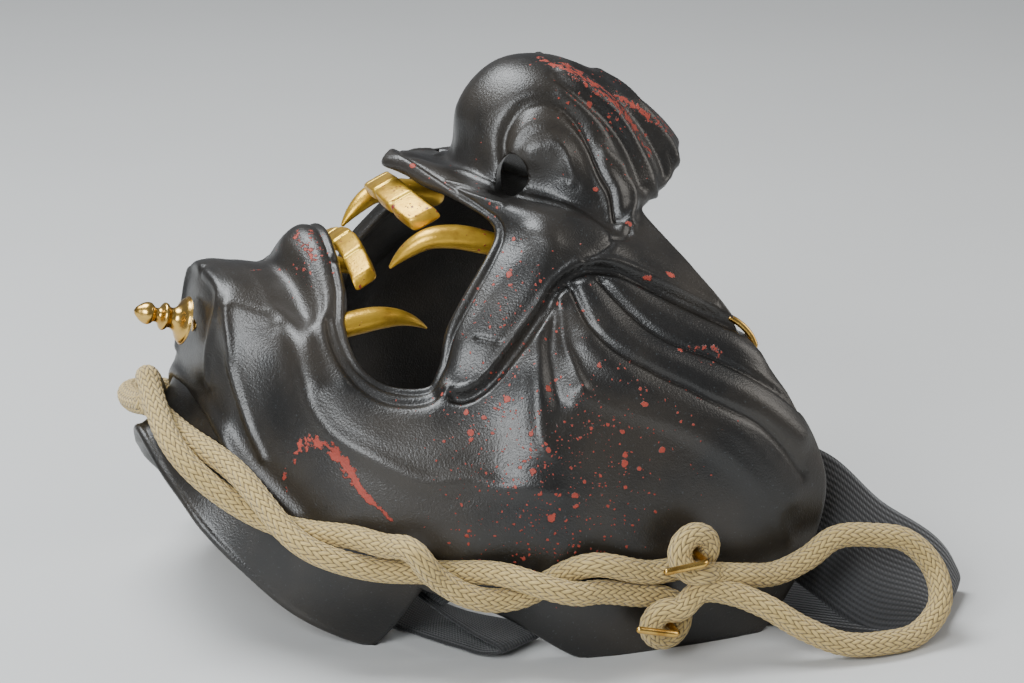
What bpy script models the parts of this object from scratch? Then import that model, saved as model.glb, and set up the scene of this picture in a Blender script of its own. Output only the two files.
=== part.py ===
"""Snarling half mask for a suit of armour, lying on its back with the face up.

Metres. X runs from the chin (-X) to the brow (+X), Y across the face (the
wearer's left cheek is at -Y), Z up out of the face. The mask rests on the rim
of both cheeks and on the two tips of its throat flange, at Z = 0.
"""

import math

import bmesh
import bpy
import numpy as np
from mathutils import Matrix, Vector

# Named sizes of the guard
LENGTH = 0.164
HALF_WIDTH = 0.077
HEIGHT = 0.1395
WALL = 0.003
FLANGE_WALL = 0.0026
GAP = 0.0003
ROWS_ROUND = 43
LINES_OUT = 19

# Teeth and tusks
TOOTH_WIDTH = 0.0100
TOOTH_THICKNESS = 0.0038
UPPER_TOOTH_HEIGHT = 0.0078
LOWER_TOOTH_HEIGHT = 0.0064
UPPER_TOOTH_SEAT = 0.0029
LOWER_TOOTH_SEAT = 0.0005
TOOTH_GROOVE = 0.0006
TUSK_RADIUS = 0.0036
UPPER_TUSK_LENGTH = 0.0250
LOWER_TUSK_LENGTH = 0.0195

# Chin peg, jaw pins, cheek hooks
PEG_LENGTH = 0.0166
PEG_RADIUS = 0.0060
PEG_TILT = math.radians(17.5)
PIN_RADIUS = 0.0009
PIN_ARM = 0.0110
PIN_BEND = 0.0016
HOOK_RADIUS = 0.0009
HOOK_SPAN = 0.0076
HOOK_RISE = 0.0022

# Cord and straps
CORD_DIAMETER = 0.0062
CORD_TURNS = 3.0
CORD_TAIL = 0.012
STRAND_POINTS = 13
RING_POINTS = 8
HEAD_STRAP_WIDTH = 0.038
HEAD_STRAP_THICKNESS = 0.0016
NECK_STRAP_WIDTH = 0.018
NECK_STRAP_THICKNESS = 0.0014

# Nostrils
NOSTRIL_RADIUS = 0.0042
NOSTRIL_STRETCH = 1.35

# The face as lines that run round the mouth, from its lip to the outer rim
LINE_NAMES = ("lip_edge", "lip_crest", "lip_foot", "inner", "middle", "outer", "low", "rim")

# One section a row, each a point (x, y, z) on every line, in thousandths of
# LENGTH, HALF_WIDTH and HEIGHT, from the middle of the chin round the corner
# of the mouth to the middle of the nose
SECTIONS = {
    "chin_mid": ((-317, 0, 699), (-348, 0, 710), (-381, 0, 692), (-405, 0, 645),
                 (-457, 0, 647), (-515, 0, 649), (-537, 0, 545), (-543, 0, 416)),
    "chin_corner": ((-322, 130, 680), (-344, 130, 688), (-370, 143, 670), (-396, 156, 627),
                    (-451, 169, 631), (-506, 169, 634), (-534, 182, 538), (-543, 195, 416)),
    "chin_flank": ((-327, 273, 626), (-349, 273, 633), (-370, 286, 616), (-396, 292, 588),
                   (-451, 273, 599), (-512, 240, 595), (-524, 273, 502), (-537, 299, 391)),
    "jowl_front": ((-345, 390, 571), (-366, 396, 577), (-387, 409, 570), (-412, 429, 556),
                   (-445, 442, 509), (-479, 416, 444), (-503, 396, 387), (-521, 390, 344)),
    "jowl": ((-337, 481, 518), (-357, 500, 523), (-378, 532, 513), (-402, 558, 487),
             (-424, 569, 444), (-448, 552, 394), (-466, 532, 337), (-476, 519, 287)),
    "jowl_back": ((-302, 545, 482), (-314, 591, 482), (-329, 636, 470), (-348, 682, 441),
                  (-363, 712, 401), (-384, 718, 330), (-399, 708, 258), (-405, 688, 208)),
    "corner": ((-237, 597, 480), (-244, 649, 477), (-253, 714, 461), (-258, 779, 416),
               (-262, 825, 358), (-274, 851, 272), (-277, 831, 194), (-274, 779, 129)),
    "flap_tip": ((-220, 591, 505), (-213, 636, 509), (-201, 688, 495), (-189, 760, 466),
                 (-177, 838, 409), (-180, 903, 315), (-180, 916, 201), (-171, 877, 86)),
    "ridge": ((-204, 558, 571), (-189, 604, 570), (-159, 662, 556), (-125, 727, 541),
              (-104, 831, 502), (-104, 922, 409), (-82, 981, 237), (-43, 981, 0)),
    "fold_1": ((-170, 519, 627), (-152, 565, 627), (-116, 636, 609), (-67, 701, 599),
               (-37, 818, 541), (-13, 896, 479), (55, 1000, 297), (111, 994, -20)),
    "fold_2": ((-126, 468, 685), (-110, 519, 687), (-73, 597, 672), (-30, 649, 657),
               (11, 779, 580), (94, 870, 514), (218, 974, 384), (268, 974, 20)),
    "fold_3": ((-99, 416, 717), (-85, 468, 724), (-48, 558, 713), (-2, 617, 681),
               (85, 740, 592), (154, 818, 539), (264, 909, 453), (366, 942, 278)),
    "groove": ((-97, 364, 743), (-82, 416, 753), (-41, 519, 744), (27, 584, 706),
               (121, 636, 648), (179, 688, 614), (214, 727, 589), (250, 760, 559)),
    "band": ((-115, 312, 761), (-98, 364, 771), (-38, 461, 768), (43, 506, 746),
             (86, 532, 712), (127, 558, 692), (162, 578, 676), (196, 597, 661)),
    "nose_cheek": ((-145, 247, 783), (-122, 286, 792), (-61, 344, 781), (14, 396, 768),
                   (78, 429, 729), (106, 422, 728), (133, 409, 727), (157, 390, 729)),
    "nose_foot": ((-173, 156, 806), (-146, 169, 810), (-98, 182, 799), (-37, 260, 789),
                  (55, 351, 776), (100, 364, 792), (146, 338, 773), (184, 286, 742)),
    "nose_side": ((-192, 91, 823), (-165, 97, 824), (-100, 104, 806), (-63, 182, 860),
                  (13, 286, 858), (85, 273, 868), (181, 221, 821), (239, 195, 770)),
    "nose_shoulder": ((-205, 39, 832), (-171, 39, 828), (-102, 52, 806), (-78, 104, 903),
                      (-8, 156, 966), (67, 156, 971), (189, 123, 907), (271, 104, 817)),
    "nose_mid": ((-210, 0, 833), (-171, 0, 824), (-104, 0, 806), (-91, 0, 910),
                 (-27, 0, 991), (61, 0, 1000), (189, 0, 928), (287, 0, 817)),
}

# Outer edge of the throat flange: section that it starts from, then the edge's
# point in the same thousandths
FLANGE_EDGE = {
    "chin_mid": (-631, 0, 353),
    "chin_corner": (-616, 169, 301),
    "chin_flank": (-598, 286, 262),
    "jowl_front": (-576, 377, 219),
    "jowl": (-530, 468, 155),
    "jowl_back": (-448, 558, 62),
    "corner": (-338, 636, 0),
}

# Carved relief of the face: height and reach in metres, then its line as
# shares out from the lip and round the face, in thousandths
RELIEF = {
    "flap": (0.0009, 0.0055, ((90, 412), (125, 500), (125, 560), (150, 690))),
    "groove": (-0.0022, 0.0028, (
        (173, 400), (237, 429), (262, 466), (256, 566), (287, 649), (323, 713), (410, 725),
        (573, 725), (727, 728), (780, 729))),
    "fold_upper": (0.0012, 0.0036, ((360, 705), (480, 697), (640, 702), (800, 710))),
    "fold_middle": (0.0013, 0.0036, (
        (320, 655), (395, 645), (497, 639), (600, 645), (711, 652), (890, 670))),
    "fold_lower": (0.0013, 0.0040, ((430, 590), (540, 583), (650, 594), (760, 612), (900, 636))),
    "crease_lower": (-0.0011, 0.0022, (
        (300, 633), (393, 617), (533, 610), (670, 618), (837, 648), (910, 654))),
    "crease_upper": (-0.0011, 0.0022, (
        (333, 684), (447, 670), (560, 671), (687, 680), (857, 691))),
    "left_valley": (-0.0012, 0.0026, ((293, 574), (333, 534), (417, 512), (513, 508))),
    "left_ridge": (0.0009, 0.0026, ((270, 584), (280, 543), (363, 504), (470, 482), (590, 483))),
    "nostril_wing": (0.0016, 0.0040, ((380, 920), (440, 926), (485, 915), (470, 895), (420, 885))),
    "wing_band": (-0.0016, 0.0022, (
        (290, 905), (333, 935), (403, 952), (503, 950), (568, 930), (570, 900), (597, 872), (583, 840))),
    "cheek_fold": (0.0011, 0.0024, ((613, 915), (700, 893), (830, 859), (760, 838), (590, 826))),
    "bridge_fold": (0.0012, 0.0022, ((580, 976), (660, 957), (733, 937), (880, 904), (1000, 892))),
    "brow_fold": (0.0012, 0.0022, ((710, 996), (790, 976), (890, 956), (1000, 945))),
    "flank_top": (0.0009, 0.0030, ((553, 89), (467, 99), (380, 103), (323, 123), (293, 173))),
    "jowl_ridge": (0.0010, 0.0030, (
        (403, 116), (353, 170), (403, 224), (447, 280), (463, 373), (553, 420), (670, 478))),
}

# Tusk centre lines from the root, as shares of the tusk's length: along the
# jaw (+x), inward from the cheek (+y) and up (+z), then the share of its radius
UPPER_TUSK = ((0.00, 0.00, 0.00, 1.00), (-0.27, 0.04, 0.06, 0.98), (-0.53, 0.08, 0.05, 0.86),
              (-0.74, 0.13, -0.07, 0.62), (-0.90, 0.17, -0.23, 0.18))
LOWER_TUSK = ((0.00, 0.00, 0.00, 1.00), (0.31, 0.00, 0.03, 0.92), (0.63, 0.03, -0.01, 0.66),
              (0.86, 0.08, -0.11, 0.38), (1.02, 0.13, -0.22, 0.10))

# Chin peg from its seat to its tip: share of its length, share of its radius
PEG_PROFILE = ((0.050, 0.40), (0.135, 0.40), (0.150, 0.92), (0.185, 1.00), (0.225, 0.92),
               (0.290, 0.62), (0.370, 0.46), (0.440, 0.48), (0.490, 0.60), (0.535, 0.58),
               (0.590, 0.36), (0.670, 0.33), (0.730, 0.46), (0.820, 0.47), (0.920, 0.30))

# Middle of the two cord strands from the chin to the jaw pins, in thousandths
# of LENGTH, HALF_WIDTH and HEIGHT
CORD_ROUTE = ((-615, 0, 424), (-613, 153, 399), (-600, 299, 364), (-566, 432, 321),
              (-521, 549, 277), (-479, 655, 218), (-409, 790, 191), (-344, 855, 174),
              (-282, 917, 169), (-221, 988, 169), (-148, 1040, 170), (-66, 1080, 172))

# Loop of the cord beyond the jaw pins, on the floor, upper strand to lower one
CORD_LOOP = ((185, 1117, 181), (289, 1078, 172), (372, 1026, 173), (447, 1052, 178),
             (500, 1112, 152), (514, 1184, 108), (474, 1290, 80), (422, 1300, 26),
             (359, 1310, 25), (312, 1190, 26), (240, 1190, 75), (180, 1140, 115))

# Jaw pins: share round the face and share out from the mouth, height of the bend
PINS = {
    "upper": (0.559, 0.855, (-1.00, 0.00, -0.08)),
    "lower": (0.534, 0.930, (-0.97, 0.00, 0.26)),
}

# Straps: middle of the band and the way its width points, x y z in thousandths
# of LENGTH, HALF_WIDTH and HEIGHT for the place, plain shares for the width
HEAD_STRAP = (
    ((290, -812, 225), (0.00, -0.02, 1.0)), ((354, -838, 218), (0.00, -0.05, 1.0)),
    ((450, -955, 162), (0.32, 0.20, 0.92)), ((520, -1040, 104), (0.55, 0.55, 0.62)),
    ((556, -1110, 50), (0.62, 0.77, 0.16)), ((562, -1125, 24), (0.62, 0.78, 0.03)),
    ((540, -1080, 11), (0.62, 0.78, 0.0)), ((505, -1020, 9), (0.62, 0.78, 0.0)),
    ((440, -905, 8), (0.62, 0.78, 0.0)), ((366, -780, 8), (0.62, 0.78, 0.0)),
    ((200, -430, 8), (0.80, 0.60, 0.0)), ((110, -40, 8), (1.0, 0.12, 0.0)),
    ((105, 260, 9), (1.0, 0.0, 0.0)), ((115, 480, 16), (1.0, 0.0, 0.02)),
    ((140, 640, 60), (0.93, -0.10, 0.25)), ((190, 730, 140), (0.60, -0.10, 0.75)),
    ((260, 800, 225), (0.0, 0.02, 1.0)),
)
NECK_STRAP = (
    ((-205, -735, 170), (-0.30, 0.10, 0.95)), ((-262, -640, 114), (-0.60, 0.20, 0.77)),
    ((-250, -560, 76), (-0.75, 0.10, 0.65)), ((-215, -640, 54), (-0.84, -0.30, 0.46)),
    ((-165, -770, 36), (-0.84, -0.50, 0.15)), ((-128, -862, 20), (-0.85, -0.50, 0.02)),
    ((-150, -810, 9), (-0.85, -0.50, 0.0)), ((-175, -730, 8), (-0.86, -0.48, 0.0)),
    ((-235, -500, 7), (-0.90, -0.35, 0.0)),
    ((-262, 0, 7), (-1.0, 0.0, 0.0)), ((-248, 250, 7), (-0.96, 0.20, 0.0)),
    ((-230, 390, 11), (-0.92, 0.35, 0.0)), ((-210, 510, 30), (-0.88, 0.40, 0.08)),
    ((-188, 650, 86), (-0.75, 0.30, 0.55)), ((-170, 735, 160), (-0.35, -0.05, 0.94)),
)

SHARE = np.array((LENGTH, HALF_WIDTH, HEIGHT)) / 1000.0
NEAR = np.array((1.0, -1.0, 1.0))


def place(point):
    """A point in thousandths of the guard's named sizes, in metres."""
    return np.array(point, float) * SHARE


def clear_scene():
    for old in list(bpy.data.objects):
        bpy.data.objects.remove(old)


def collection(name):
    made = bpy.data.collections.new(name)
    bpy.context.scene.collection.children.link(made)
    return made


def material(name, colour, roughness, metallic=0.0):
    made = bpy.data.materials.new(name)
    made.use_nodes = True
    shader = made.node_tree.nodes["Principled BSDF"]
    shader.inputs["Base Color"].default_value = (*colour, 1.0)
    shader.inputs["Roughness"].default_value = roughness
    shader.inputs["Metallic"].default_value = metallic
    made.diffuse_color = (*colour, 1.0)
    return made


def add_object(name, data, where, look=None):
    made = bpy.data.objects.new(name, data)
    where.objects.link(made)
    if look:
        data.materials.append(look)
    return made


# Smooth curves through chosen points
def slopes(knots, values):
    """Slope at each knot, from the parabola through it and its neighbours."""
    step = np.diff(knots)
    shape = (-1,) + (1,) * (values.ndim - 1)
    rise = np.diff(values, axis=0) / step.reshape(shape)
    before = step[:-1].reshape(shape)
    after = step[1:].reshape(shape)
    found = np.empty_like(values)
    found[1:-1] = (after * rise[:-1] + before * rise[1:]) / (before + after)
    found[0] = 2 * rise[0] - found[1]
    found[-1] = 2 * rise[-1] - found[-2]
    return found


def smooth(knots, values, at):
    """Cubic through the values, one for each knot along the first axis."""
    slope = slopes(knots, values)
    left = np.clip(np.searchsorted(knots, at, side="right") - 1, 0, len(knots) - 2)
    shape = (-1,) + (1,) * (values.ndim - 1)
    step = (knots[left + 1] - knots[left]).reshape(shape)
    s = (at - knots[left]).reshape(shape) / step
    first = (2 * s**3 - 3 * s**2 + 1) * values[left] + (s**3 - 2 * s**2 + s) * step * slope[left]
    last = (3 * s**2 - 2 * s**3) * values[left + 1] + (s**3 - s**2) * step * slope[left + 1]
    return first + last


def along(points, count):
    """Evenly spaced points on a smooth curve through the given ones."""
    points = np.array(points, float)
    knots = np.concatenate(([0.0], np.cumsum(np.linalg.norm(np.diff(points[:, :3], axis=0), axis=1))))
    fine = smooth(knots, points, np.linspace(0.0, knots[-1], 40 * len(points)))
    run = np.concatenate(([0.0], np.cumsum(np.linalg.norm(np.diff(fine[:, :3], axis=0), axis=1))))
    at = np.linspace(0.0, run[-1], count)
    return np.stack([np.interp(at, run, fine[:, k]) for k in range(points.shape[1])], 1)


# The face surface, shared by the shell and by all that sits on it
NET = np.array([[place(p) for p in row] for row in SECTIONS.values()]) * NEAR
SECTION_AT = dict(zip(SECTIONS, range(len(SECTIONS))))


def mean_knots(axis):
    steps = np.linalg.norm(np.diff(NET, axis=axis), axis=2).mean(axis=1 - axis)
    run = np.concatenate(([0.0], np.cumsum(steps)))
    return run / run[-1]


OUT_KNOTS = mean_knots(1)
ROUND_KNOTS = mean_knots(0)


def face(out, around):
    """Points of the left half's outer face, by rows round the mouth.

    out runs from 0 at the lip to 1 at the rim, around from 0 at the chin's
    middle to 1 at the nose's middle. Mirrored rows beyond both ends keep the
    middle of the face smooth.
    """
    net = np.concatenate((NET[2:0:-1] * NEAR, NET, NET[-2:-4:-1] * NEAR))
    knots = np.concatenate((-ROUND_KNOTS[2:0:-1], ROUND_KNOTS, 2.0 - ROUND_KNOTS[-2:-4:-1]))
    rows = smooth(knots, net, np.atleast_1d(around))
    return smooth(OUT_KNOTS, rows.transpose(1, 0, 2), np.atleast_1d(out)).transpose(1, 0, 2)


def face_point(out, around):
    """A point on the face, its outward normal and the way out from the mouth."""
    e = 0.004
    o = np.clip((out - e, out, out + e), 0.0, 1.0)
    a = np.array((around - e, around, around + e))
    grid = face(o, a)
    radial = grid[1, 2] - grid[1, 0]
    circular = grid[2, 1] - grid[0, 1]
    normal = np.cross(radial, circular)
    return grid[1, 1], normal / np.linalg.norm(normal), radial / np.linalg.norm(radial)


# Mesh builders
def grid_mesh(name, grid):
    rows, lines, _ = grid.shape
    number = np.arange(rows * lines).reshape(rows, lines)
    quads = np.stack((number[:-1, :-1], number[:-1, 1:], number[1:, 1:], number[1:, :-1]), -1)
    made = bpy.data.meshes.new(name)
    made.from_pydata(grid.reshape(-1, 3).tolist(), [], quads.reshape(-1, 4).tolist())
    return made


def loft(name, rings, where, look):
    """A closed body through rings of equal count, with flat ends."""
    rings = np.array(rings)
    count, sides, _ = rings.shape
    made = bmesh.new()
    verts = [[made.verts.new(p) for p in ring] for ring in rings]
    for a, b in zip(verts, verts[1:]):
        for k in range(sides):
            made.faces.new((a[k], a[(k + 1) % sides], b[(k + 1) % sides], b[k]))
    made.faces.new(verts[0][::-1])
    made.faces.new(verts[-1])
    bmesh.ops.recalc_face_normals(made, faces=made.faces)
    data = bpy.data.meshes.new(name)
    made.to_mesh(data)
    made.free()
    return add_object(name, data, where, look)


def rod(name, points, radius, where, look, sides=2, radii=None):
    """A round bar along the points, with filled ends."""
    data = bpy.data.curves.new(name, "CURVE")
    data.dimensions = "3D"
    data.bevel_depth = radius
    data.bevel_resolution = sides
    data.use_fill_caps = True
    spline = data.splines.new("POLY")
    spline.points.add(len(points) - 1)
    for k, point in enumerate(points):
        spline.points[k].co = (*point, 1.0)
        spline.points[k].radius = 1.0 if radii is None else radii[k]
    return add_object(name, data, where, look)


def mirror(body):
    step = body.modifiers.new("other half", "MIRROR")
    step.use_axis = (False, True, False)
    step.use_clip = True
    step.merge_threshold = 0.0001
    return step


def thicken(body, thickness):
    step = body.modifiers.new("wall", "SOLIDIFY")
    step.thickness = thickness
    step.offset = -1.0
    return step


def combine(body, tool, operation):
    step = body.modifiers.new(tool.name, "BOOLEAN")
    step.operation = operation
    step.solver = "EXACT"
    step.object = tool


def hide_tool(body):
    body.hide_render = True
    body.display_type = "WIRE"
    return body


# Face shell with its throat flange
def carved(grid):
    """The grid moved along its normals by height x exp(-(distance / reach)^2) for each line."""
    normals = np.cross(np.gradient(grid, axis=1), np.gradient(grid, axis=0))
    normals /= np.linalg.norm(normals, axis=2)[..., None]
    made = grid.copy()
    for height, reach, shares in RELIEF.values():
        spots = along([(a / 1000.0, b / 1000.0, 0.0) for a, b in shares], 40)
        line = np.array([face(min(max(a, 0.0), 1.0), b)[0, 0] for a, b, _ in spots])
        far = np.linalg.norm(grid[:, :, None, :] - line, axis=3).min(2)
        made += normals * (height * np.exp(-(far / reach) ** 2))[..., None]
    return made


def flange_surface():
    """Rows from the jaw's lower rim out to the flange's edge, cupped a little."""
    rows = []
    for name, edge in FLANGE_EDGE.items():
        around = ROUND_KNOTS[SECTION_AT[name]]
        rim, normal, radial = face_point(1.0, around)
        root = rim - radial * WALL - normal * WALL * 0.45
        tip = place(edge) * NEAR
        cup = np.array((0.0, 0.0, -0.05)) * np.linalg.norm(tip - root)
        rows.append([root, root + (tip - root) * 0.35 + cup, root + (tip - root) * 0.70 + cup, tip])
    rows = np.array(rows)
    first = rows[1:3][::-1] * NEAR
    knots = np.arange(-2.0, len(rows))
    at = np.linspace(0.0, len(rows) - 1.0, 2 * len(rows) - 1)
    return smooth(knots, np.concatenate((first, rows)), at)


def make_face_shell(parts, tools, look):
    around = np.linspace(0.0, 1.0, ROWS_ROUND)
    out = np.sort(np.concatenate((np.linspace(0.0, 1.0, LINES_OUT - 2), (0.02, 0.08))))
    half = carved(face(out, around))
    half[(0, -1), :, 1] = 0.0
    shell = add_object("face_shell", grid_mesh("face_shell", half), parts, look)
    mirror(shell)
    thicken(shell, WALL)

    flange = flange_surface()
    flange[0, :, 1] = 0.0
    skirt = hide_tool(add_object("throat_flange", grid_mesh("throat_flange", flange), tools))
    mirror(skirt)
    thicken(skirt, FLANGE_WALL)
    combine(shell, skirt, "UNION")

    bpy.ops.mesh.primitive_cube_add(size=1.0)
    floor = hide_tool(bpy.context.object)
    floor.name = "floor_trim"
    floor.scale = (2.0 * LENGTH, 3.0 * HALF_WIDTH, HEIGHT)
    floor.location = (0.0, 0.0, -0.5 * HEIGHT)
    move_to(floor, tools)
    combine(shell, floor, "DIFFERENCE")

    for side in (-1.0, 1.0):
        point, normal, radial = face_point(0.355, 0.903)
        point[1] *= -side
        way = Vector((-0.62, 0.72 * side, 0.10)).normalized()
        bpy.ops.mesh.primitive_cylinder_add(vertices=14, radius=NOSTRIL_RADIUS, depth=6.0 * WALL)
        hole = hide_tool(bpy.context.object)
        hole.name = "nostril_left" if side < 0 else "nostril_right"
        turn = way.to_track_quat("Z", "Y").to_matrix().to_4x4()
        hole.matrix_world = Matrix.Translation(Vector(point)) @ turn @ Matrix.Diagonal((1, NOSTRIL_STRETCH, 1, 1))
        move_to(hole, tools)
        combine(shell, hole, "DIFFERENCE")
    return shell


def move_to(body, where):
    for home in list(body.users_collection):
        home.objects.unlink(body)
    where.objects.link(body)


# Teeth and tusks
def make_teeth(name, around, seat, sweep, way, height, parts, look):
    """Four teeth in one bar behind the lip, with a notch between neighbours.

    seat is the place of the teeth's root from the lip's middle, and sweep how
    far the bar's ends lie from its middle, each along X and Z.
    """
    lip, _, _ = face_point(0.0, around)
    way = np.array((way[0], 0.0, way[1])) / math.hypot(*way)
    deep = np.cross((0.0, 1.0, 0.0), way)
    deep *= -np.sign(deep[2])
    rings = []
    for tooth in (-1.5, -0.5, 0.5, 1.5):
        for edge in (-0.5, -0.42, 0.42, 0.5):
            across = (tooth + edge) * TOOTH_WIDTH
            if rings and abs(rings[-1][0, 1] - across) < 1e-9:
                continue
            notch = TOOTH_GROOVE if abs(edge) == 0.5 else 0.0
            share = abs(across) / (2.0 * TOOTH_WIDTH)
            root = lip + np.array((seat[0] + sweep[0] * share**2, 0.0, seat[1] + sweep[1] * share**1.6))
            root[1] = across
            skin = root + deep * notch
            tip = skin + way * (height - notch)
            back = root + deep * TOOTH_THICKNESS
            rings.append(np.array((skin, tip, tip + deep * (TOOTH_THICKNESS - notch) * 0.7, back)))
    return loft(name, rings, parts, look)


def make_tusk(name, side, around, inward, table, length, parts, look):
    """A tapered horn from inside the lip, bent as its table says."""
    lip, _, _ = face_point(0.0, around)
    inward = np.array(inward) / np.linalg.norm(inward)
    root = lip + inward * (WALL + GAP + TUSK_RADIUS)
    route = [(*(root + np.array((x, y, z)) * length), r) for x, y, z, r in table]
    line = along(route, 11)
    line[:, 1] *= -side
    return rod(name, line[:, :3], TUSK_RADIUS, parts, look, 3, line[:, 3])


# Peg, pins and hooks
def make_peg(parts, look):
    """Turned finial under the chin, on an axis that leans up out of the face."""
    seat, _, _ = face_point(OUT_KNOTS[6], 0.0)
    profile = [(r * PEG_RADIUS, s * PEG_LENGTH) for s, r in PEG_PROFILE]
    points = [(0.0, PEG_LENGTH)] + profile[::-1] + [(0.0, profile[0][1])]
    data = bpy.data.meshes.new("chin_peg")
    edges = [(k, k + 1) for k in range(len(points) - 1)]
    data.from_pydata([(r, 0.0, z) for r, z in points], edges, [])
    peg = add_object("chin_peg", data, parts, look)
    turn = peg.modifiers.new("turn", "SCREW")
    turn.steps = 20
    turn.render_steps = 20
    turn.use_merge_vertices = True
    turn.merge_threshold = 0.00005
    way = Vector((-math.cos(PEG_TILT), 0.0, math.sin(PEG_TILT)))
    peg.location = Vector(seat)
    peg.rotation_euler = way.to_track_quat("Z", "Y").to_euler()
    return peg


def pin_seat(which):
    around, out, way = PINS[which]
    point, normal, _ = face_point(out, around)
    return point, normal, np.array(way) / np.linalg.norm(way)


def make_pin(name, which, side, parts, look):
    """A bent peg: a post out of the jaw and an arm along it, above the cord."""
    point, normal, way = pin_seat(which)
    post = 2.0 * CORD_DIAMETER + 4.0 * GAP + 2.0 * PIN_RADIUS
    line = [point + normal * GAP]
    line.append(point + normal * (post - PIN_BEND))
    for share in (0.25, 0.5, 0.75):
        turn = share * math.pi / 2.0
        line.append(point + normal * (post - PIN_BEND * (1.0 - math.sin(turn)))
                    + way * PIN_BEND * (1.0 - math.cos(turn)))
    line.append(point + normal * post + way * PIN_BEND)
    line.append(point + normal * post + way * PIN_ARM)
    line = np.array(line) * (1.0, -side, 1.0)
    return rod(name, line, PIN_RADIUS, parts, look, 2)


def make_hook(name, side, parts, look):
    """A staple on the cut edge of the cheek, over the end of its groove."""
    middle = ROUND_KNOTS[SECTION_AT["groove"]]
    before, _, _ = face_point(1.0, middle - 0.01)
    after, _, _ = face_point(1.0, middle + 0.01)
    reach = 0.01 * HOOK_SPAN / np.linalg.norm(after - before)
    line = []
    for step in np.linspace(-1.0, 1.0, 9):
        edge, normal, radial = face_point(1.0, middle + step * reach)
        lift = 3.3 * HOOK_RADIUS + GAP + HOOK_RISE * (1.0 - step * step)
        line.append(edge + radial * lift - normal * WALL * 0.4)
    line = np.array(line) * (1.0, -side, 1.0)
    return rod(name, line, HOOK_RADIUS, parts, look, 2)


# Cord and straps
def strand(sign):
    """One of the two strands from the chin's middle to the jaw pins."""
    centre = along([place(p) * NEAR for p in CORD_ROUTE], STRAND_POINTS)
    way = np.gradient(centre, axis=0)
    way /= np.linalg.norm(way, axis=1)[:, None]
    out = centre * (1.0, 1.0, 0.0) + (0.15 * LENGTH, 0.0, 0.0)
    out -= (out * way).sum(1)[:, None] * way
    out /= np.linalg.norm(out, axis=1)[:, None]
    side = np.cross(way, out)
    share = np.linspace(0.0, 1.0, len(centre))
    turn = math.pi * (0.5 + CORD_TURNS * share)[:, None]
    reach = sign * (0.5 * CORD_DIAMETER + GAP)
    return centre + reach * (np.cos(turn) * out + np.sin(turn) * side)


def ring(which):
    """Once round a jaw pin, rising from the jaw to the pin's arm."""
    point, normal, way = pin_seat(which)
    radius = 0.5 * CORD_DIAMETER + PIN_RADIUS + 2.0 * GAP
    up = np.cross(normal, way)
    up *= np.sign(up[2])
    down = -1.0 if which == "upper" else 1.0
    low = 0.5 * CORD_DIAMETER + GAP
    line = [point + normal * low + radius * up * down + way * 1.5 * CORD_DIAMETER]
    for share in np.linspace(0.0, 1.0, RING_POINTS):
        turn = 2.0 * math.pi * share
        lift = low + share * (CORD_DIAMETER + 3.0 * GAP)
        flat = math.cos(turn) * up * down - math.sin(turn) * way
        line.append(point + normal * lift + radius * flat)
    return line


def tail(which, length):
    """Past a far jaw pin to a bare end, above the upper pin or below the lower."""
    point, normal, way = pin_seat(which)
    up = np.cross(normal, way)
    up *= np.sign(up[2]) * (1.0 if which == "upper" else -1.0)
    middle = point + normal * (0.5 * CORD_DIAMETER + 2.0 * GAP) + up * (0.5 * CORD_DIAMETER + PIN_RADIUS + GAP)
    return [middle * NEAR, (middle - way * length + normal * CORD_DIAMETER * 0.3) * NEAR]


def make_cord(parts, look):
    """The doubled cord: far end, chin, near pin, loop, near pin, chin, far end."""
    upper, lower = strand(1.0), strand(-1.0)
    if upper[-1, 2] < lower[-1, 2]:
        upper, lower = lower, upper
    loop = [place(p) * NEAR for p in CORD_LOOP]
    near = list(upper) + ring("upper") + loop + ring("lower")[::-1] + list(lower[::-1])
    far_start = list(reversed(tail("lower", CORD_TAIL))) + [p * NEAR for p in lower[:0:-1]]
    far_end = [p * NEAR for p in upper[1:]] + tail("upper", CORD_TAIL)
    start_fits = np.linalg.norm(upper[0] * NEAR - lower[0]) < np.linalg.norm(upper[0] * NEAR - upper[0])
    if not start_fits:
        far_start, far_end = far_end[::-1], far_start[::-1]
    line = far_start + near + far_end
    return rod("cord", line, 0.5 * CORD_DIAMETER, parts, look, 2)


def make_strap(name, table, width, thickness, count, parts, look):
    """A flat band along its table, its width turning as the table says."""
    rows = [(*place(p), *w) for p, w in table]
    line = along(rows, count)
    centre, across = line[:, :3], line[:, 3:]
    way = np.gradient(centre, axis=0)
    way /= np.linalg.norm(way, axis=1)[:, None]
    across /= np.linalg.norm(across, axis=1)[:, None]
    thin = np.cross(way, across)
    thin /= np.linalg.norm(thin, axis=1)[:, None]
    a, t = across * width / 2.0, thin * thickness / 2.0
    rings = np.stack((centre - a - t, centre + a - t, centre + a + t, centre - a + t), 1)
    return loft(name, rings, parts, look)


def centre_on_origin(parts, tools):
    """Move all bodies together so that the guard, its cord apart, lies over the origin."""
    bpy.context.view_layer.update()
    graph = bpy.context.evaluated_depsgraph_get()
    low = np.full(3, np.inf)
    high = np.full(3, -np.inf)
    for body in parts.objects:
        if body.name == "cord":
            continue
        solid = body.evaluated_get(graph)
        skin = solid.to_mesh()
        corners = np.empty(3 * len(skin.vertices))
        skin.vertices.foreach_get("co", corners)
        turn = np.array(solid.matrix_world)
        corners = corners.reshape(-1, 3) @ turn[:3, :3].T + turn[:3, 3]
        solid.to_mesh_clear()
        low = np.minimum(low, corners.min(0))
        high = np.maximum(high, corners.max(0))
    middle = (low + high) / 2.0
    for body in list(parts.objects) + list(tools.objects):
        body.location -= Vector((middle[0], middle[1], 0.0))


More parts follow.
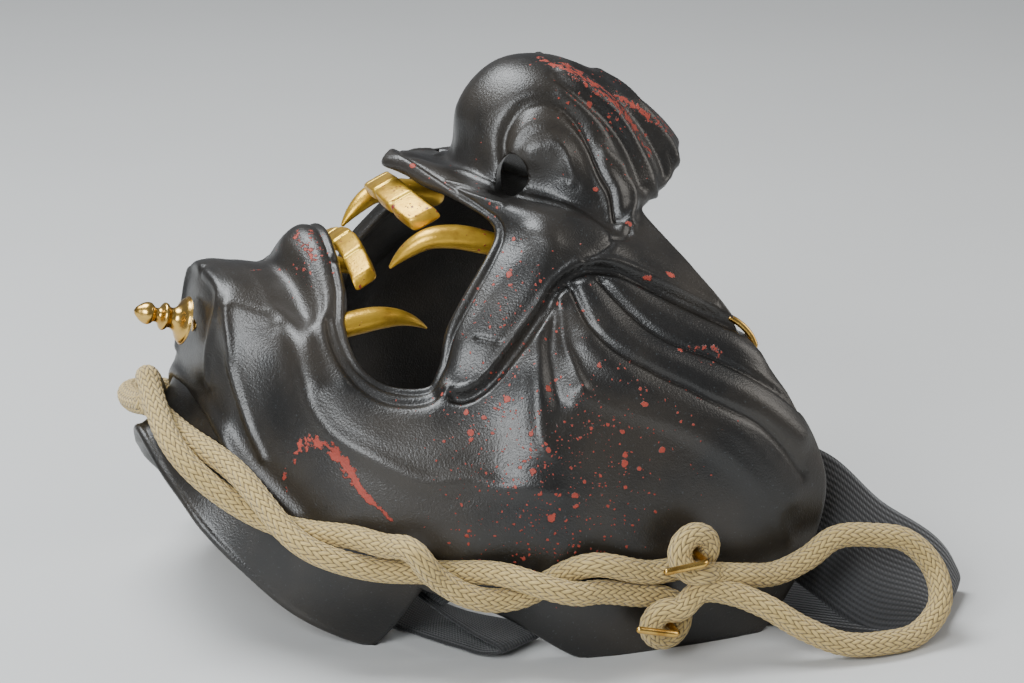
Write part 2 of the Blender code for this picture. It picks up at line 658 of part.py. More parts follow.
def main():
    clear_scene()
    parts = collection("samurai_face_guard")
    tools = collection("cutters")
    black = material("black_lacquer", (0.018, 0.016, 0.015), 0.34)
    gold = material("gold_paint", (0.52, 0.30, 0.07), 0.36, 0.8)
    brass = material("brass", (0.60, 0.40, 0.12), 0.28, 1.0)
    hemp = material("tan_cord", (0.56, 0.42, 0.22), 0.85)
    webbing = material("black_elastic", (0.03, 0.03, 0.032), 0.8)

    make_face_shell(parts, tools, black)
    make_teeth("upper_teeth", 1.0, (0.0024, -WALL - UPPER_TOOTH_SEAT), (0.0040, -0.0038), (-0.91, -0.42),
               UPPER_TOOTH_HEIGHT, parts, gold)
    make_teeth("lower_teeth", 0.0, (0.0016, -WALL - LOWER_TOOTH_SEAT), (-0.0008, -0.0052), (0.87, 0.49),
               LOWER_TOOTH_HEIGHT, parts, gold)
    for side, hand in ((-1.0, "left"), (1.0, "right")):
        make_tusk(f"upper_tusk_{hand}", side, 0.700, (-0.40, 0.74, -0.54), UPPER_TUSK,
                  UPPER_TUSK_LENGTH, parts, gold)
        make_tusk(f"lower_tusk_{hand}", side, 0.168, (0.66, 0.75, 0.10), LOWER_TUSK,
                  LOWER_TUSK_LENGTH, parts, gold)
        for which in PINS:
            make_pin(f"jaw_pin_{which}_{hand}", which, side, parts, brass)
        make_hook(f"cheek_hook_{hand}", side, parts, brass)
    make_peg(parts, brass)
    make_cord(parts, hemp)
    make_strap("head_strap", HEAD_STRAP, HEAD_STRAP_WIDTH, HEAD_STRAP_THICKNESS, 60, parts, webbing)
    make_strap("neck_strap", NECK_STRAP, NECK_STRAP_WIDTH, NECK_STRAP_THICKNESS, 44, parts, webbing)
    centre_on_origin(parts, tools)


main()
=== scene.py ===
import math

import bpy
import numpy as np
from mathutils import Matrix, Vector


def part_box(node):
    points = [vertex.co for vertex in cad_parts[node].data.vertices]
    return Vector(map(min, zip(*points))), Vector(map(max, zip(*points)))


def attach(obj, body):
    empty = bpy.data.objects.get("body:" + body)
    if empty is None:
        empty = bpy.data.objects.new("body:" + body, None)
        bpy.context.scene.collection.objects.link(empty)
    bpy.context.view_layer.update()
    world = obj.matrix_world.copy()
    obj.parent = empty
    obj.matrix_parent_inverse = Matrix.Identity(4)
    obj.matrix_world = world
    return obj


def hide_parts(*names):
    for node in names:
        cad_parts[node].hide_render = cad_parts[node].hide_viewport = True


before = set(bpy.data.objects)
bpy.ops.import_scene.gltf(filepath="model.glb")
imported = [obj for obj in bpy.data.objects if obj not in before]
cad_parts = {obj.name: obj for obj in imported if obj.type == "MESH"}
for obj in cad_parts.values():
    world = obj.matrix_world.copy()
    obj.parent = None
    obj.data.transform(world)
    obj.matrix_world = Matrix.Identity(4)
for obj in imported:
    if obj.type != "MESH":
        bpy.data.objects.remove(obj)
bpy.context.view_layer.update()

# Studio
# A pale table of painted board, lit by a large soft box above, one at the front
# left, a weak warm one at the right and a dim pale room all round.
FLOOR_SIDE = 4.0
FLOOR_COLOUR = (0.62, 0.62, 0.61)
ROOM_COLOUR = (0.80, 0.83, 0.88)
ROOM_LIGHT = 0.26
# The flange's tip along X from the middle of the shell's own sections
FLANGE_TIP = -0.631 * 0.164
SHELL_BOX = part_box("face_shell")
MIDDLE = Vector((SHELL_BOX[0][0] - FLANGE_TIP, (SHELL_BOX[0][1] + SHELL_BOX[1][1]) / 2.0, 0.0))
CAMERA_TURN = math.radians(20.0)
CAMERA_RISE = math.radians(18.0)
CAMERA_REACH = 0.900
CAMERA_LENS = 117.07
AIM_HEIGHT = 0.061
AIM = MIDDLE + Vector((0.0, 0.0, AIM_HEIGHT))
# name: place from AIM in metres, side in metres, power in watts, colour
SOFT_BOXES = {
    "soft_box_above": ((-0.25, 0.25, 0.80), 0.50, 12.0, (0.93, 0.97, 1.0)),
    "soft_box_front": ((-0.60, -0.62, 0.44), 0.42, 9.0, (0.93, 0.97, 1.0)),
    "soft_box_right": ((0.75, -0.20, 0.40), 0.50, 2.8, (1.0, 0.95, 0.88)),
}


def board_material():
    """Pale paint with a faint mottle, rough all over."""
    made = bpy.data.materials.new("pale_board")
    made.use_nodes = True
    nodes, links = made.node_tree.nodes, made.node_tree.links
    shader = nodes["Principled BSDF"]
    shader.inputs["Roughness"].default_value = 0.75
    place = nodes.new("ShaderNodeTexCoord")
    mottle = nodes.new("ShaderNodeTexNoise")
    mottle.inputs["Scale"].default_value = 9.0
    mottle.inputs["Detail"].default_value = 5.0
    ramp = nodes.new("ShaderNodeValToRGB")
    ramp.color_ramp.elements[0].color = (*[0.93 * c for c in FLOOR_COLOUR], 1.0)
    ramp.color_ramp.elements[1].color = (*FLOOR_COLOUR, 1.0)
    links.new(place.outputs["Object"], mottle.inputs["Vector"])
    links.new(mottle.outputs["Fac"], ramp.inputs["Fac"])
    links.new(ramp.outputs["Color"], shader.inputs["Base Color"])
    return made


def make_floor():
    half = FLOOR_SIDE / 2.0
    sheet = bpy.data.meshes.new("table")
    sheet.from_pydata([(-half, -half, 0.0), (half, -half, 0.0), (half, half, 0.0), (-half, half, 0.0)],
                      [], [(0, 1, 2, 3)])
    table = bpy.data.objects.new("table", sheet)
    bpy.context.scene.collection.objects.link(table)
    sheet.materials.append(board_material())


def make_lights():
    room = bpy.data.worlds.new("room")
    bpy.context.scene.world = room
    room.use_nodes = True
    sky = room.node_tree.nodes["Background"]
    sky.inputs["Color"].default_value = (*ROOM_COLOUR, 1.0)
    sky.inputs["Strength"].default_value = ROOM_LIGHT
    for name, (place, side, power, colour) in SOFT_BOXES.items():
        lamp = bpy.data.lights.new(name, "AREA")
        lamp.size = side
        lamp.energy = power
        lamp.color = colour
        body = bpy.data.objects.new(name, lamp)
        bpy.context.scene.collection.objects.link(body)
        body.location = AIM + Vector(place)
        body.rotation_euler = (-Vector(place)).to_track_quat("-Z", "Y").to_euler()


def make_camera():
    lens = bpy.data.cameras.new("camera")
    lens.sensor_width = 36.0
    lens.lens = CAMERA_LENS
    lens.clip_start = 0.01
    camera = bpy.data.objects.new("camera", lens)
    bpy.context.scene.collection.objects.link(camera)
    ahead = Vector((math.sin(CAMERA_TURN) * math.cos(CAMERA_RISE),
                    math.cos(CAMERA_TURN) * math.cos(CAMERA_RISE), -math.sin(CAMERA_RISE)))
    camera.location = AIM - ahead * CAMERA_REACH
    camera.rotation_euler = ahead.to_track_quat("-Z", "Y").to_euler()
    bpy.context.scene.camera = camera


make_floor()
make_lights()
make_camera()


# Face shell
# One moulding of black lacquered resin, 3 mm thick: chin, cheeks, a snarling
# mouth with a rolled lip, a hooked nose, and a flange under the jaw.
LENGTH = 0.164
HALF_WIDTH = 0.077
HEIGHT = 0.1395
WALL = 0.003
FLANGE_WALL = 0.0026
ROWS_ROUND = 300
LINES_OUT = 124
LIP_LINES = 26
LIP_BAND = 0.10
EDGE_STEPS = 5

# The same sections as the solid's: (x, y, z) in thousandths of LENGTH,
# HALF_WIDTH and HEIGHT, on lines from the lip's edge out to the rim
SECTIONS = {
    "chin_mid": ((-317, 0, 699), (-348, 0, 710), (-381, 0, 692), (-405, 0, 645),
                 (-457, 0, 647), (-515, 0, 649), (-537, 0, 545), (-543, 0, 416)),
    "chin_corner": ((-322, 130, 680), (-344, 130, 688), (-370, 143, 670), (-396, 156, 627),
                    (-451, 169, 631), (-506, 169, 634), (-534, 182, 538), (-543, 195, 416)),
    "chin_flank": ((-327, 273, 626), (-349, 273, 633), (-370, 286, 616), (-396, 292, 588),
                   (-451, 273, 599), (-512, 240, 595), (-524, 273, 502), (-537, 299, 391)),
    "jowl_front": ((-345, 390, 571), (-366, 396, 577), (-387, 409, 570), (-412, 429, 556),
                   (-445, 442, 509), (-479, 416, 444), (-503, 396, 387), (-521, 390, 344)),
    "jowl": ((-337, 481, 518), (-357, 500, 523), (-378, 532, 513), (-402, 558, 487),
             (-424, 569, 444), (-448, 552, 394), (-466, 532, 337), (-476, 519, 287)),
    "jowl_back": ((-302, 545, 482), (-314, 591, 482), (-329, 636, 470), (-348, 682, 441),
                  (-363, 712, 401), (-384, 718, 330), (-399, 708, 258), (-405, 688, 208)),
    "corner": ((-237, 597, 480), (-244, 649, 477), (-253, 714, 461), (-258, 779, 416),
               (-262, 825, 358), (-274, 851, 272), (-277, 831, 194), (-274, 779, 129)),
    "flap_tip": ((-220, 591, 505), (-213, 636, 509), (-201, 688, 495), (-189, 760, 466),
                 (-177, 838, 409), (-180, 903, 315), (-180, 916, 201), (-171, 877, 86)),
    "ridge": ((-204, 558, 571), (-189, 604, 570), (-159, 662, 556), (-125, 727, 541),
              (-104, 831, 502), (-104, 922, 409), (-82, 981, 237), (-43, 981, 0)),
    "fold_1": ((-170, 519, 627), (-152, 565, 627), (-116, 636, 609), (-67, 701, 599),
               (-37, 818, 541), (-13, 896, 479), (55, 1000, 297), (111, 994, -20)),
    "fold_2": ((-126, 468, 685), (-110, 519, 687), (-73, 597, 672), (-30, 649, 657),
               (11, 779, 580), (94, 870, 514), (218, 974, 384), (268, 974, 20)),
    "fold_3": ((-99, 416, 717), (-85, 468, 724), (-48, 558, 713), (-2, 617, 681),
               (85, 740, 592), (154, 818, 539), (264, 909, 453), (366, 942, 278)),
    "groove": ((-97, 364, 743), (-82, 416, 753), (-41, 519, 744), (27, 584, 706),
               (121, 636, 648), (179, 688, 614), (214, 727, 589), (250, 760, 559)),
    "band": ((-115, 312, 761), (-98, 364, 771), (-38, 461, 768), (43, 506, 746),
             (86, 532, 712), (127, 558, 692), (162, 578, 676), (196, 597, 661)),
    "nose_cheek": ((-145, 247, 783), (-122, 286, 792), (-61, 344, 781), (14, 396, 768),
                   (78, 429, 729), (106, 422, 728), (133, 409, 727), (157, 390, 729)),
    "nose_foot": ((-173, 156, 806), (-146, 169, 810), (-98, 182, 799), (-37, 260, 789),
                  (55, 351, 776), (100, 364, 792), (146, 338, 773), (184, 286, 742)),
    "nose_side": ((-192, 91, 823), (-165, 97, 824), (-100, 104, 806), (-63, 182, 860),
                  (13, 286, 858), (85, 273, 868), (181, 221, 821), (239, 195, 770)),
    "nose_shoulder": ((-205, 39, 832), (-171, 39, 828), (-102, 52, 806), (-78, 104, 903),
                      (-8, 156, 966), (67, 156, 971), (189, 123, 907), (271, 104, 817)),
    "nose_mid": ((-210, 0, 833), (-171, 0, 824), (-104, 0, 806), (-91, 0, 910),
                 (-27, 0, 991), (61, 0, 1000), (189, 0, 928), (287, 0, 817)),
}
FLANGE_EDGE = {
    "chin_mid": (-631, 0, 353),
    "chin_corner": (-616, 169, 301),
    "chin_flank": (-598, 286, 262),
    "jowl_front": (-576, 377, 219),
    "jowl": (-530, 468, 155),
    "jowl_back": (-448, 558, 62),
    "corner": (-338, 636, 0),
}

# Carved relief: height, reach on its left, reach on its right (all in
# millimetres) and steepness, then its line as shares out from the lip and
# round the face, in thousandths
RELIEF = {
    "lip_bead": (0.80, 1.1, 1.1, 2, (
        (12, 0), (12, 150), (12, 300), (12, 500), (12, 700), (12, 850), (12, 1000))),
    "lip_line": (-0.35, 0.5, 0.5, 2, ((32, 0), (30, 200), (34, 400), (32, 600), (32, 800), (32, 1000))),
    "flap": (0.9, 5.5, 5.5, 4, ((90, 412), (120, 450), (125, 500), (125, 560), (140, 620), (150, 690))),
    "flap_bead": (0.8, 1.1, 1.1, 2, (
        (120, 396), (153, 404), (207, 428), (233, 451), (237, 487), (223, 526), (237, 574), (260, 634),
        (277, 693), (293, 718), (333, 738), (373, 743), (450, 744), (520, 743), (620, 742), (847, 744))),
    "groove": (-2.0, 1.7, 1.7, 4, (
        (173, 400), (237, 429), (262, 466), (258, 510), (256, 566), (273, 612), (287, 649), (300, 690),
        (323, 713), (360, 722), (410, 725), (480, 725), (573, 725), (727, 728), (1000, 736))),
    "crease_a": (-1.3, 0.9, 0.9, 2, (
        (300, 633), (343, 623), (393, 617), (440, 614), (490, 610), (533, 610), (580, 613), (623, 617),
        (670, 618), (723, 625), (780, 639), (837, 648), (910, 654))),
    "crease_b": (-1.3, 0.9, 0.9, 2, (
        (333, 684), (363, 678), (397, 674), (447, 670), (503, 668), (560, 671), (623, 678), (687, 680),
        (753, 683), (857, 691), (993, 699))),
    "fold_upper": (1.1, 3.6, 3.6, 2, (
        (360, 705), (420, 700), (480, 697), (560, 698), (640, 702), (720, 706), (800, 710), (900, 715))),
    "fold_middle": (1.2, 3.6, 3.6, 2, (
        (320, 655), (353, 650), (395, 645), (443, 642), (497, 639), (547, 640), (600, 645), (655, 648),
        (711, 652), (790, 660), (890, 670))),
    "fold_lower": (1.2, 4.0, 4.0, 2, (
        (430, 590), (480, 585), (540, 583), (600, 588), (650, 594), (700, 600), (760, 612), (840, 625),
        (900, 636))),
    "fold_edge": (1.0, 2.6, 2.6, 2, (
        (530, 535), (583, 550), (620, 564), (660, 576), (700, 585), (740, 592), (777, 599), (817, 607),
        (880, 619), (957, 632))),
    "left_fold": (0.8, 1.3, 1.3, 2, ((290, 602), (340, 557), (370, 548), (420, 543), (490, 538), (517, 538))),
    "left_valley": (-1.2, 2.2, 2.2, 2, ((293, 574), (333, 534), (417, 512), (513, 508))),
    "left_ridge": (0.8, 2.2, 2.2, 2, ((270, 584), (280, 543), (363, 504), (470, 482), (590, 483))),
    "wing_bulge": (1.6, 4.0, 4.0, 2, ((380, 920), (440, 926), (485, 915), (470, 895), (420, 885))),
    "wing_band": (-1.7, 1.6, 1.6, 2, (
        (290, 905), (307, 920), (333, 935), (363, 945), (403, 952), (453, 953), (503, 950), (545, 942),
        (568, 930), (575, 915), (570, 900), (575, 886), (597, 872), (593, 857), (583, 840))),
    "wing_ring": (0.9, 1.1, 1.1, 2, (
        (323, 916), (353, 929), (387, 938), (423, 941), (463, 940), (503, 936), (527, 929), (537, 921),
        (540, 911), (537, 902), (530, 885), (540, 871), (553, 856), (520, 841))),
    "wing_inner": (0.6, 1.0, 1.0, 2, ((453, 930), (473, 920), (462, 907), (430, 893))),
    "cheek_fold": (1.1, 1.6, 1.6, 2, (
        (613, 915), (650, 905), (700, 893), (770, 881), (830, 859), (760, 838), (590, 826))),
    "bridge_1": (1.2, 1.7, 1.7, 2, (
        (580, 976), (617, 965), (660, 957), (697, 949), (733, 937), (780, 923), (880, 904), (1000, 892))),
    "bridge_2": (1.2, 1.8, 1.8, 2, (
        (710, 996), (763, 993), (790, 976), (840, 964), (890, 956), (957, 951), (1000, 945))),
    "bridge_0": (0.9, 1.6, 1.6, 2, ((540, 956), (583, 946), (630, 932), (653, 919), (690, 904))),
    "bridge_groove_1": (-1.2, 1.5, 1.5, 2, (
        (637, 990), (673, 983), (710, 971), (750, 958), (803, 947), (877, 934), (963, 920))),
    "bridge_groove_0": (-1.2, 1.5, 1.5, 2, (
        (547, 969), (583, 957), (627, 948), (663, 941), (703, 930), (747, 912), (863, 890))),
    "whisker_1": (0.6, 0.6, 0.6, 2, ((40, 861), (70, 852), (123, 846))),
    "whisker_2": (0.6, 0.6, 0.6, 2, ((40, 838), (60, 820), (100, 800))),
    "whisker_0": (0.7, 0.8, 0.8, 2, ((140, 916), (180, 886), (200, 872))),
    "nose_foot": (-0.8, 1.2, 1.2, 2, ((173, 859), (193, 850), (217, 842), (250, 836), (277, 825))),
    "nose_crease": (-0.9, 0.8, 0.8, 2, ((703, 828), (500, 800), (360, 772), (293, 732), (280, 709))),
    "chin_edge": (0.9, 1.5, 1.5, 2, ((593, 9), (607, 45), (643, 57), (733, 53), (840, 51), (907, 56))),
    "flank_edge": (0.7, 1.2, 1.2, 2, (
        (577, 90), (603, 107), (650, 118), (707, 124), (713, 142), (730, 161), (793, 190))),
    "flank_top": (0.9, 2.8, 2.8, 2, ((553, 89), (467, 99), (380, 103), (323, 123), (293, 173), (303, 200))),
    "jowl_ridge": (0.9, 2.4, 2.4, 2, (
        (403, 116), (360, 137), (353, 170), (373, 197), (403, 224), (437, 253), (447, 280), (443, 322),
        (463, 373), (553, 420), (670, 478))),
    "lip_side": (0.6, 1.8, 1.8, 2, ((113, 151), (120, 181), (117, 214), (140, 231))),
    "lip_valley": (-0.9, 1.5, 1.5, 2, (
        (70, 150), (80, 192), (85, 227), (100, 261), (110, 294), (100, 324), (85, 367))),
    "notch": (-0.5, 0.6, 0.6, 2, ((117, 493), (157, 496), (193, 499))),
    "rim_flare": (1.6, 2.6, 2.6, 2, ((1000, 0), (1000, 60), (1000, 139), (1000, 192), (1000, 240))),
}

FLANGE_ROWS = 190
FLANGE_LINES = 44
FLANGE_BEAD = 0.0004
FLANGE_BEAD_SPREAD = 22.0
# The nostril's middle as shares out and round, and the way it is bored
NOSTRIL_AT = (0.292, 0.893)
NOSTRIL_WAY = (-0.62, 0.72, 0.10)
NOSTRIL_RADIUS = 0.0042
NOSTRIL_STRETCH = 1.35

# Dry red paint. Stroke: strength, half width in millimetres, then its line as
# for relief; below 0.7 the stroke breaks up into flecks
STROKE_FADE = 0.0009
STROKES = {
    "arc_wash": (0.60, 1.6, ((560, 226), (500, 238), (487, 250), (510, 268), (545, 283))),
    "arc": (1.0, 0.15, ((583, 224), (500, 238), (487, 250), (520, 278), (563, 291), (583, 312), (603, 324))),
    "arc_thick": (1.0, 0.55, ((500, 256), (530, 280), (560, 291), (578, 305))),
    "arc_drip": (0.62, 0.25, ((640, 214), (700, 216), (783, 219), (863, 228))),
    "arc_drip_short": (0.66, 0.25, ((600, 222), (660, 225))),
    "bridge_0": (0.58, 1.3, ((545, 990), (585, 976), (640, 965))),
    "bridge_1": (0.78, 1.1, ((563, 983), (613, 966), (687, 955), (760, 945))),
    "bridge_2": (0.66, 1.3, ((600, 985), (663, 968), (747, 956))),
    "bridge_3": (0.76, 0.9, ((650, 985), (720, 970), (800, 962), (927, 957))),
    "bridge_4": (0.60, 0.8, ((680, 946), (760, 938), (827, 930))),
    "bridge_5": (0.64, 0.5, ((800, 985), (880, 975), (950, 970))),
    "cheek": (0.60, 0.8, ((557, 655), (587, 679), (657, 683))),
    "cheek_low": (0.62, 0.4, ((593, 656), (640, 665))),
    "cheek_curve": (0.58, 0.2, ((627, 614), (670, 613), (723, 602), (747, 597))),
    "spot_1": (1.0, 0.4, ((340, 719), (350, 720))),
    "spot_2": (1.0, 0.4, ((583, 761), (593, 760))),
    "spot_3": (1.0, 0.5, ((413, 734), (430, 736))),
    "spot_4": (1.0, 0.5, ((660, 830), (690, 829))),
    "spot_5": (1.0, 0.4, ((710, 703), (733, 703))),
    "lip_1": (0.60, 0.8, ((123, 10), (127, 37), (110, 60))),
    "lip_2": (0.56, 0.8, ((63, 11), (70, 30), (73, 55))),
    "chin_1": (0.58, 0.4, ((443, 19), (357, 14))),
    "chin_2": (0.58, 0.4, ((290, 20), (270, 26), (180, 64))),
}
# Spatter: strength, reach in millimetres, share out and share round
SPATTER = {
    "jaw": (0.9, 19.0, 640, 480),
    "jaw_low": (0.6, 12.0, 690, 440),
    "jaw_back": (0.4, 16.0, 653, 549),
    "jaw_front": (0.35, 14.0, 363, 422),
    "flap": (0.5, 12.0, 167, 575),
    "lower_lip": (0.45, 9.0, 97, 53),
    "bridge": (1.0, 13.0, 687, 958),
    "upper_lip": (0.12, 14.0, 90, 850),
}
FAR_SPATTER = 0.4
# Cells to a metre, smallest and largest drop as shares of a cell, share of cells
# with a drop where the spatter is full
DROPS = ((300.0, 0.08, 0.32, 0.45), (640.0, 0.10, 0.32, 0.55), (1100.0, 0.12, 0.34, 0.5))
DROP_BEND = 0.0011
LACQUER_DARK = (0.0075, 0.007, 0.0065)
LACQUER_BROWN = (0.026, 0.021, 0.016)
# Pale cool colour of the painted glints in the lacquer's highlights
LACQUER_PAINTED_GLINT = (0.09, 0.11, 0.12)
LACQUER_ROUGHNESS = 0.30
PEEL_DEPTH = 0.00010
RED_DARK = (0.20, 0.022, 0.012)
RED_LIGHT = (0.40, 0.050, 0.026)


def smooth(knots, values, at):
    """Cubic through the values; each knot's slope is that of the parabola through its neighbours."""
    step = np.diff(knots)
    wide = (-1,) + (1,) * (values.ndim - 1)
    rise = np.diff(values, axis=0) / step.reshape(wide)
    before, after = step[:-1].reshape(wide), step[1:].reshape(wide)
    slope = np.empty_like(values)
    slope[1:-1] = (after * rise[:-1] + before * rise[1:]) / (before + after)
    slope[0] = 2 * rise[0] - slope[1]
    slope[-1] = 2 * rise[-1] - slope[-2]
    left = np.clip(np.searchsorted(knots, at, side="right") - 1, 0, len(knots) - 2)
    span = step[left].reshape(wide)
    s = (at - knots[left]).reshape(wide) / span
    return ((2 * s**3 - 3 * s**2 + 1) * values[left] + (s**3 - 2 * s**2 + s) * span * slope[left]
            + (3 * s**2 - 2 * s**3) * values[left + 1] + (s**3 - s**2) * span * slope[left + 1])


def along(points, count):
    """Points at even distances on the smooth curve through the given ones."""
    points = np.array(points, float)
    knots = np.concatenate(([0.0], np.cumsum(np.linalg.norm(np.diff(points[:, :3], axis=0), axis=1))))
    fine = smooth(knots, points, np.linspace(0.0, knots[-1], 40 * len(points)))
    run = np.concatenate(([0.0], np.cumsum(np.linalg.norm(np.diff(fine[:, :3], axis=0), axis=1))))
    at = np.linspace(0.0, run[-1], count)
    return np.stack([np.interp(at, run, fine[:, k]) for k in range(points.shape[1])], 1)


SHARE = np.array((LENGTH, HALF_WIDTH, HEIGHT)) / 1000.0
NEAR = np.array((1.0, -1.0, 1.0))
SHIFT = np.array(MIDDLE)
NET = np.array(list(SECTIONS.values()), float) * SHARE * NEAR


def mean_knots(axis):
    steps = np.linalg.norm(np.diff(NET, axis=axis), axis=2).mean(axis=1 - axis)
    run = np.concatenate(([0.0], np.cumsum(steps)))
    return run / run[-1]


OUT_KNOTS = mean_knots(1)
ROUND_KNOTS = mean_knots(0)
ROUND_AT = dict(zip(SECTIONS, ROUND_KNOTS))


def face(out, around):
    """Left half of the outer face: cubic round the mouth, then cubic out from it.

    out is 0 at the lip and 1 at the rim, around is 0 at the chin's middle and
    1 at the nose's; mirrored rows past both ends keep the middle smooth.
    """
    net = np.concatenate((NET[2:0:-1] * NEAR, NET, NET[-2:-4:-1] * NEAR))
    knots = np.concatenate((-ROUND_KNOTS[2:0:-1], ROUND_KNOTS, 2.0 - ROUND_KNOTS[-2:-4:-1]))
    rows = smooth(knots, net, np.atleast_1d(around))
    return smooth(OUT_KNOTS, rows.transpose(1, 0, 2), np.atleast_1d(out)).transpose(1, 0, 2)


def face_point(out, around):
    """A point on the face, its outward normal and the way out from the mouth."""
    e = 0.004
    grid = face(np.clip((out - e, out, out + e), 0.0, 1.0), np.array((around - e, around, around + e)))
    radial = grid[1, 2] - grid[1, 0]
    normal = np.cross(radial, grid[2, 1] - grid[0, 1])
    return grid[1, 1], normal / np.linalg.norm(normal), radial / np.linalg.norm(radial)


def unit(vectors):
    return vectors / np.maximum(np.linalg.norm(vectors, axis=-1), 1e-12)[..., None]


def grid_normals(grid):
    """Cross product of the grid's two directions, as central differences."""
    return unit(np.cross(np.gradient(grid, axis=1), np.gradient(grid, axis=0)))


def line_field(points, normals, line):
    """Distance from each point to the line, and whether it is on the line's left."""
    best = np.full(len(points), 1e9)
    left = np.zeros(len(points), bool)
    for a, b in zip(line, line[1:]):
        step = b - a
        share = np.clip((points - a) @ step / max(step @ step, 1e-18), 0.0, 1.0)
        off = points - a - share[:, None] * step
        far = np.linalg.norm(off, axis=1)
        nearer = far < best
        side = (np.cross(step, off) * normals).sum(1) > 0.0
        best = np.where(nearer, far, best)
        left = np.where(nearer, side, left)
    return best, left


def surface_line(shares, count=40):
    """A line on the face through places given as (out, around) thousandths."""
    spots = along([(a / 1000.0, b / 1000.0, 0.0) for a, b in shares], count)
    return np.array([face(np.clip(a, 0.0, 1.0), b)[0, 0] for a, b, _ in spots])


def relief_height(points, normals):
    """Sum over the table of height x exp(-(distance / reach) ^ steepness)."""
    total = np.zeros(len(points))
    for height, reach_left, reach_right, steep, shares in RELIEF.values():
        line = surface_line(shares)
        near = np.linalg.norm(points[:, None, :] - line[None, ::5, :], axis=2).min(1) < 0.014
        far, left = line_field(points[near], normals[near], line)
        reach = np.where(left, reach_left, reach_right) / 1000.0
        total[near] += height / 1000.0 * np.exp(-(far / reach) ** steep)
    return total


def out_shares():
    """Shares out from the lip, close together on the rolled lip."""
    lip = np.linspace(0.0, LIP_BAND, LIP_LINES, endpoint=False)
    return np.concatenate((lip, np.linspace(LIP_BAND, 1.0, LINES_OUT - LIP_LINES)))


def edge_round(top, bottom, way):
    """Half circle from one wall to the other, bulging along way."""
    turn = np.linspace(0.0, math.pi, EDGE_STEPS + 2)[1:-1]
    centre, half = (top + bottom) / 2.0, (top - bottom) / 2.0
    deep = np.linalg.norm(half, axis=-1)[:, None, None]
    return (centre[:, None] + np.cos(turn)[None, :, None] * half[:, None]
            + np.sin(turn)[None, :, None] * way[:, None] * deep)


def closed_wall(outer, inner):
    """Round each row: outer wall out to the rim, inner wall back, both edges rounded."""
    rim = edge_round(outer[:, -1], inner[:, -1], unit(outer[:, -1] - outer[:, -2]))
    lip = edge_round(inner[:, 0], outer[:, 0], unit(outer[:, 0] - outer[:, 1]))
    return np.concatenate((outer, rim, inner[:, ::-1], lip), axis=1)


def grid_faces(rows, columns, wrap_rows, wrap_columns):
    number = np.arange(rows * columns).reshape(rows, columns)
    if wrap_rows:
        number = np.concatenate((number, number[:1]), axis=0)
    if wrap_columns:
        number = np.concatenate((number, number[:, :1]), axis=1)
    return np.stack((number[:-1, :-1], number[:-1, 1:], number[1:, 1:], number[1:, :-1]), -1).reshape(-1, 4)


def mesh_object(name, points, quads, extra=()):
    made = bpy.data.meshes.new(name)
    made.vertices.add(len(points))
    made.vertices.foreach_set("co", np.ascontiguousarray(points, np.float32).ravel())
    loops = [np.asarray(quads).ravel()] + [np.asarray(f).ravel() for f in extra]
    sizes = np.concatenate([np.full(len(quads), 4)] + [np.full(1, len(f)) for f in extra])
    made.loops.add(int(sizes.sum()))
    made.loops.foreach_set("vertex_index", np.concatenate(loops).astype(np.int32))
    made.polygons.add(len(sizes))
    made.polygons.foreach_set("loop_start", (np.cumsum(sizes) - sizes).astype(np.int32))
    made.update(calc_edges=True)
    made.polygons.foreach_set("use_smooth", np.ones(len(sizes), bool))
    body = bpy.data.objects.new(name, made)
    bpy.context.scene.collection.objects.link(body)
    return body


def shell_walls():
    """Outer wall with its relief, and the plain inner wall one thickness below."""
    around = np.linspace(0.0, 1.0, ROWS_ROUND)
    base = face(out_shares(), around)
    base[(0, -1), :, 1] = 0.0
    normals = grid_normals(base)
    normals[(0, -1), :, 1] = 0.0
    normals = unit(normals)
    flat_points, flat_normals = base.reshape(-1, 3), normals.reshape(-1, 3)
    rise = relief_height(flat_points, flat_normals).reshape(base.shape[:2])
    return base + normals * rise[..., None], base - normals * WALL


def both_halves(half):
    """Left half's rows, then the right half's as their mirror image."""
    return np.concatenate((half, half[-2:0:-1] * NEAR), axis=0)


def flange_walls():
    """Plate from inside the jaw's lower rim out to the flange's edge, cupped a little."""
    rows = []
    for name, edge in FLANGE_EDGE.items():
        rim, normal, radial = face_point(1.0, ROUND_AT[name])
        root = rim - radial * WALL - normal * WALL * 0.45
        tip = np.array(edge) * SHARE * NEAR
        cup = np.array((0.0, 0.0, -0.05)) * np.linalg.norm(tip - root)
        rows.append([root, root + (tip - root) * 0.35 + cup, root + (tip - root) * 0.70 + cup, tip])
    rows = np.array(rows)
    rows = np.concatenate((rows[:0:-1] * NEAR, rows))
    rows = smooth(np.arange(len(rows), dtype=float), rows, np.linspace(0.0, len(rows) - 1.0, FLANGE_ROWS))
    lines = smooth(np.arange(4.0), rows.transpose(1, 0, 2), np.linspace(0.0, 3.0, FLANGE_LINES))
    plate = lines.transpose(1, 0, 2)
    normals = grid_normals(plate)
    bead = np.exp(-((np.linspace(1.0, 0.0, FLANGE_LINES) * FLANGE_BEAD_SPREAD) ** 2))
    return plate + normals * FLANGE_BEAD * bead[None, :, None], plate - normals * FLANGE_WALL


def point_value(body, name, values):
    layer = body.data.attributes.new(name, "FLOAT", "POINT")
    layer.data.foreach_set("value", np.ascontiguousarray(values, np.float32).ravel())


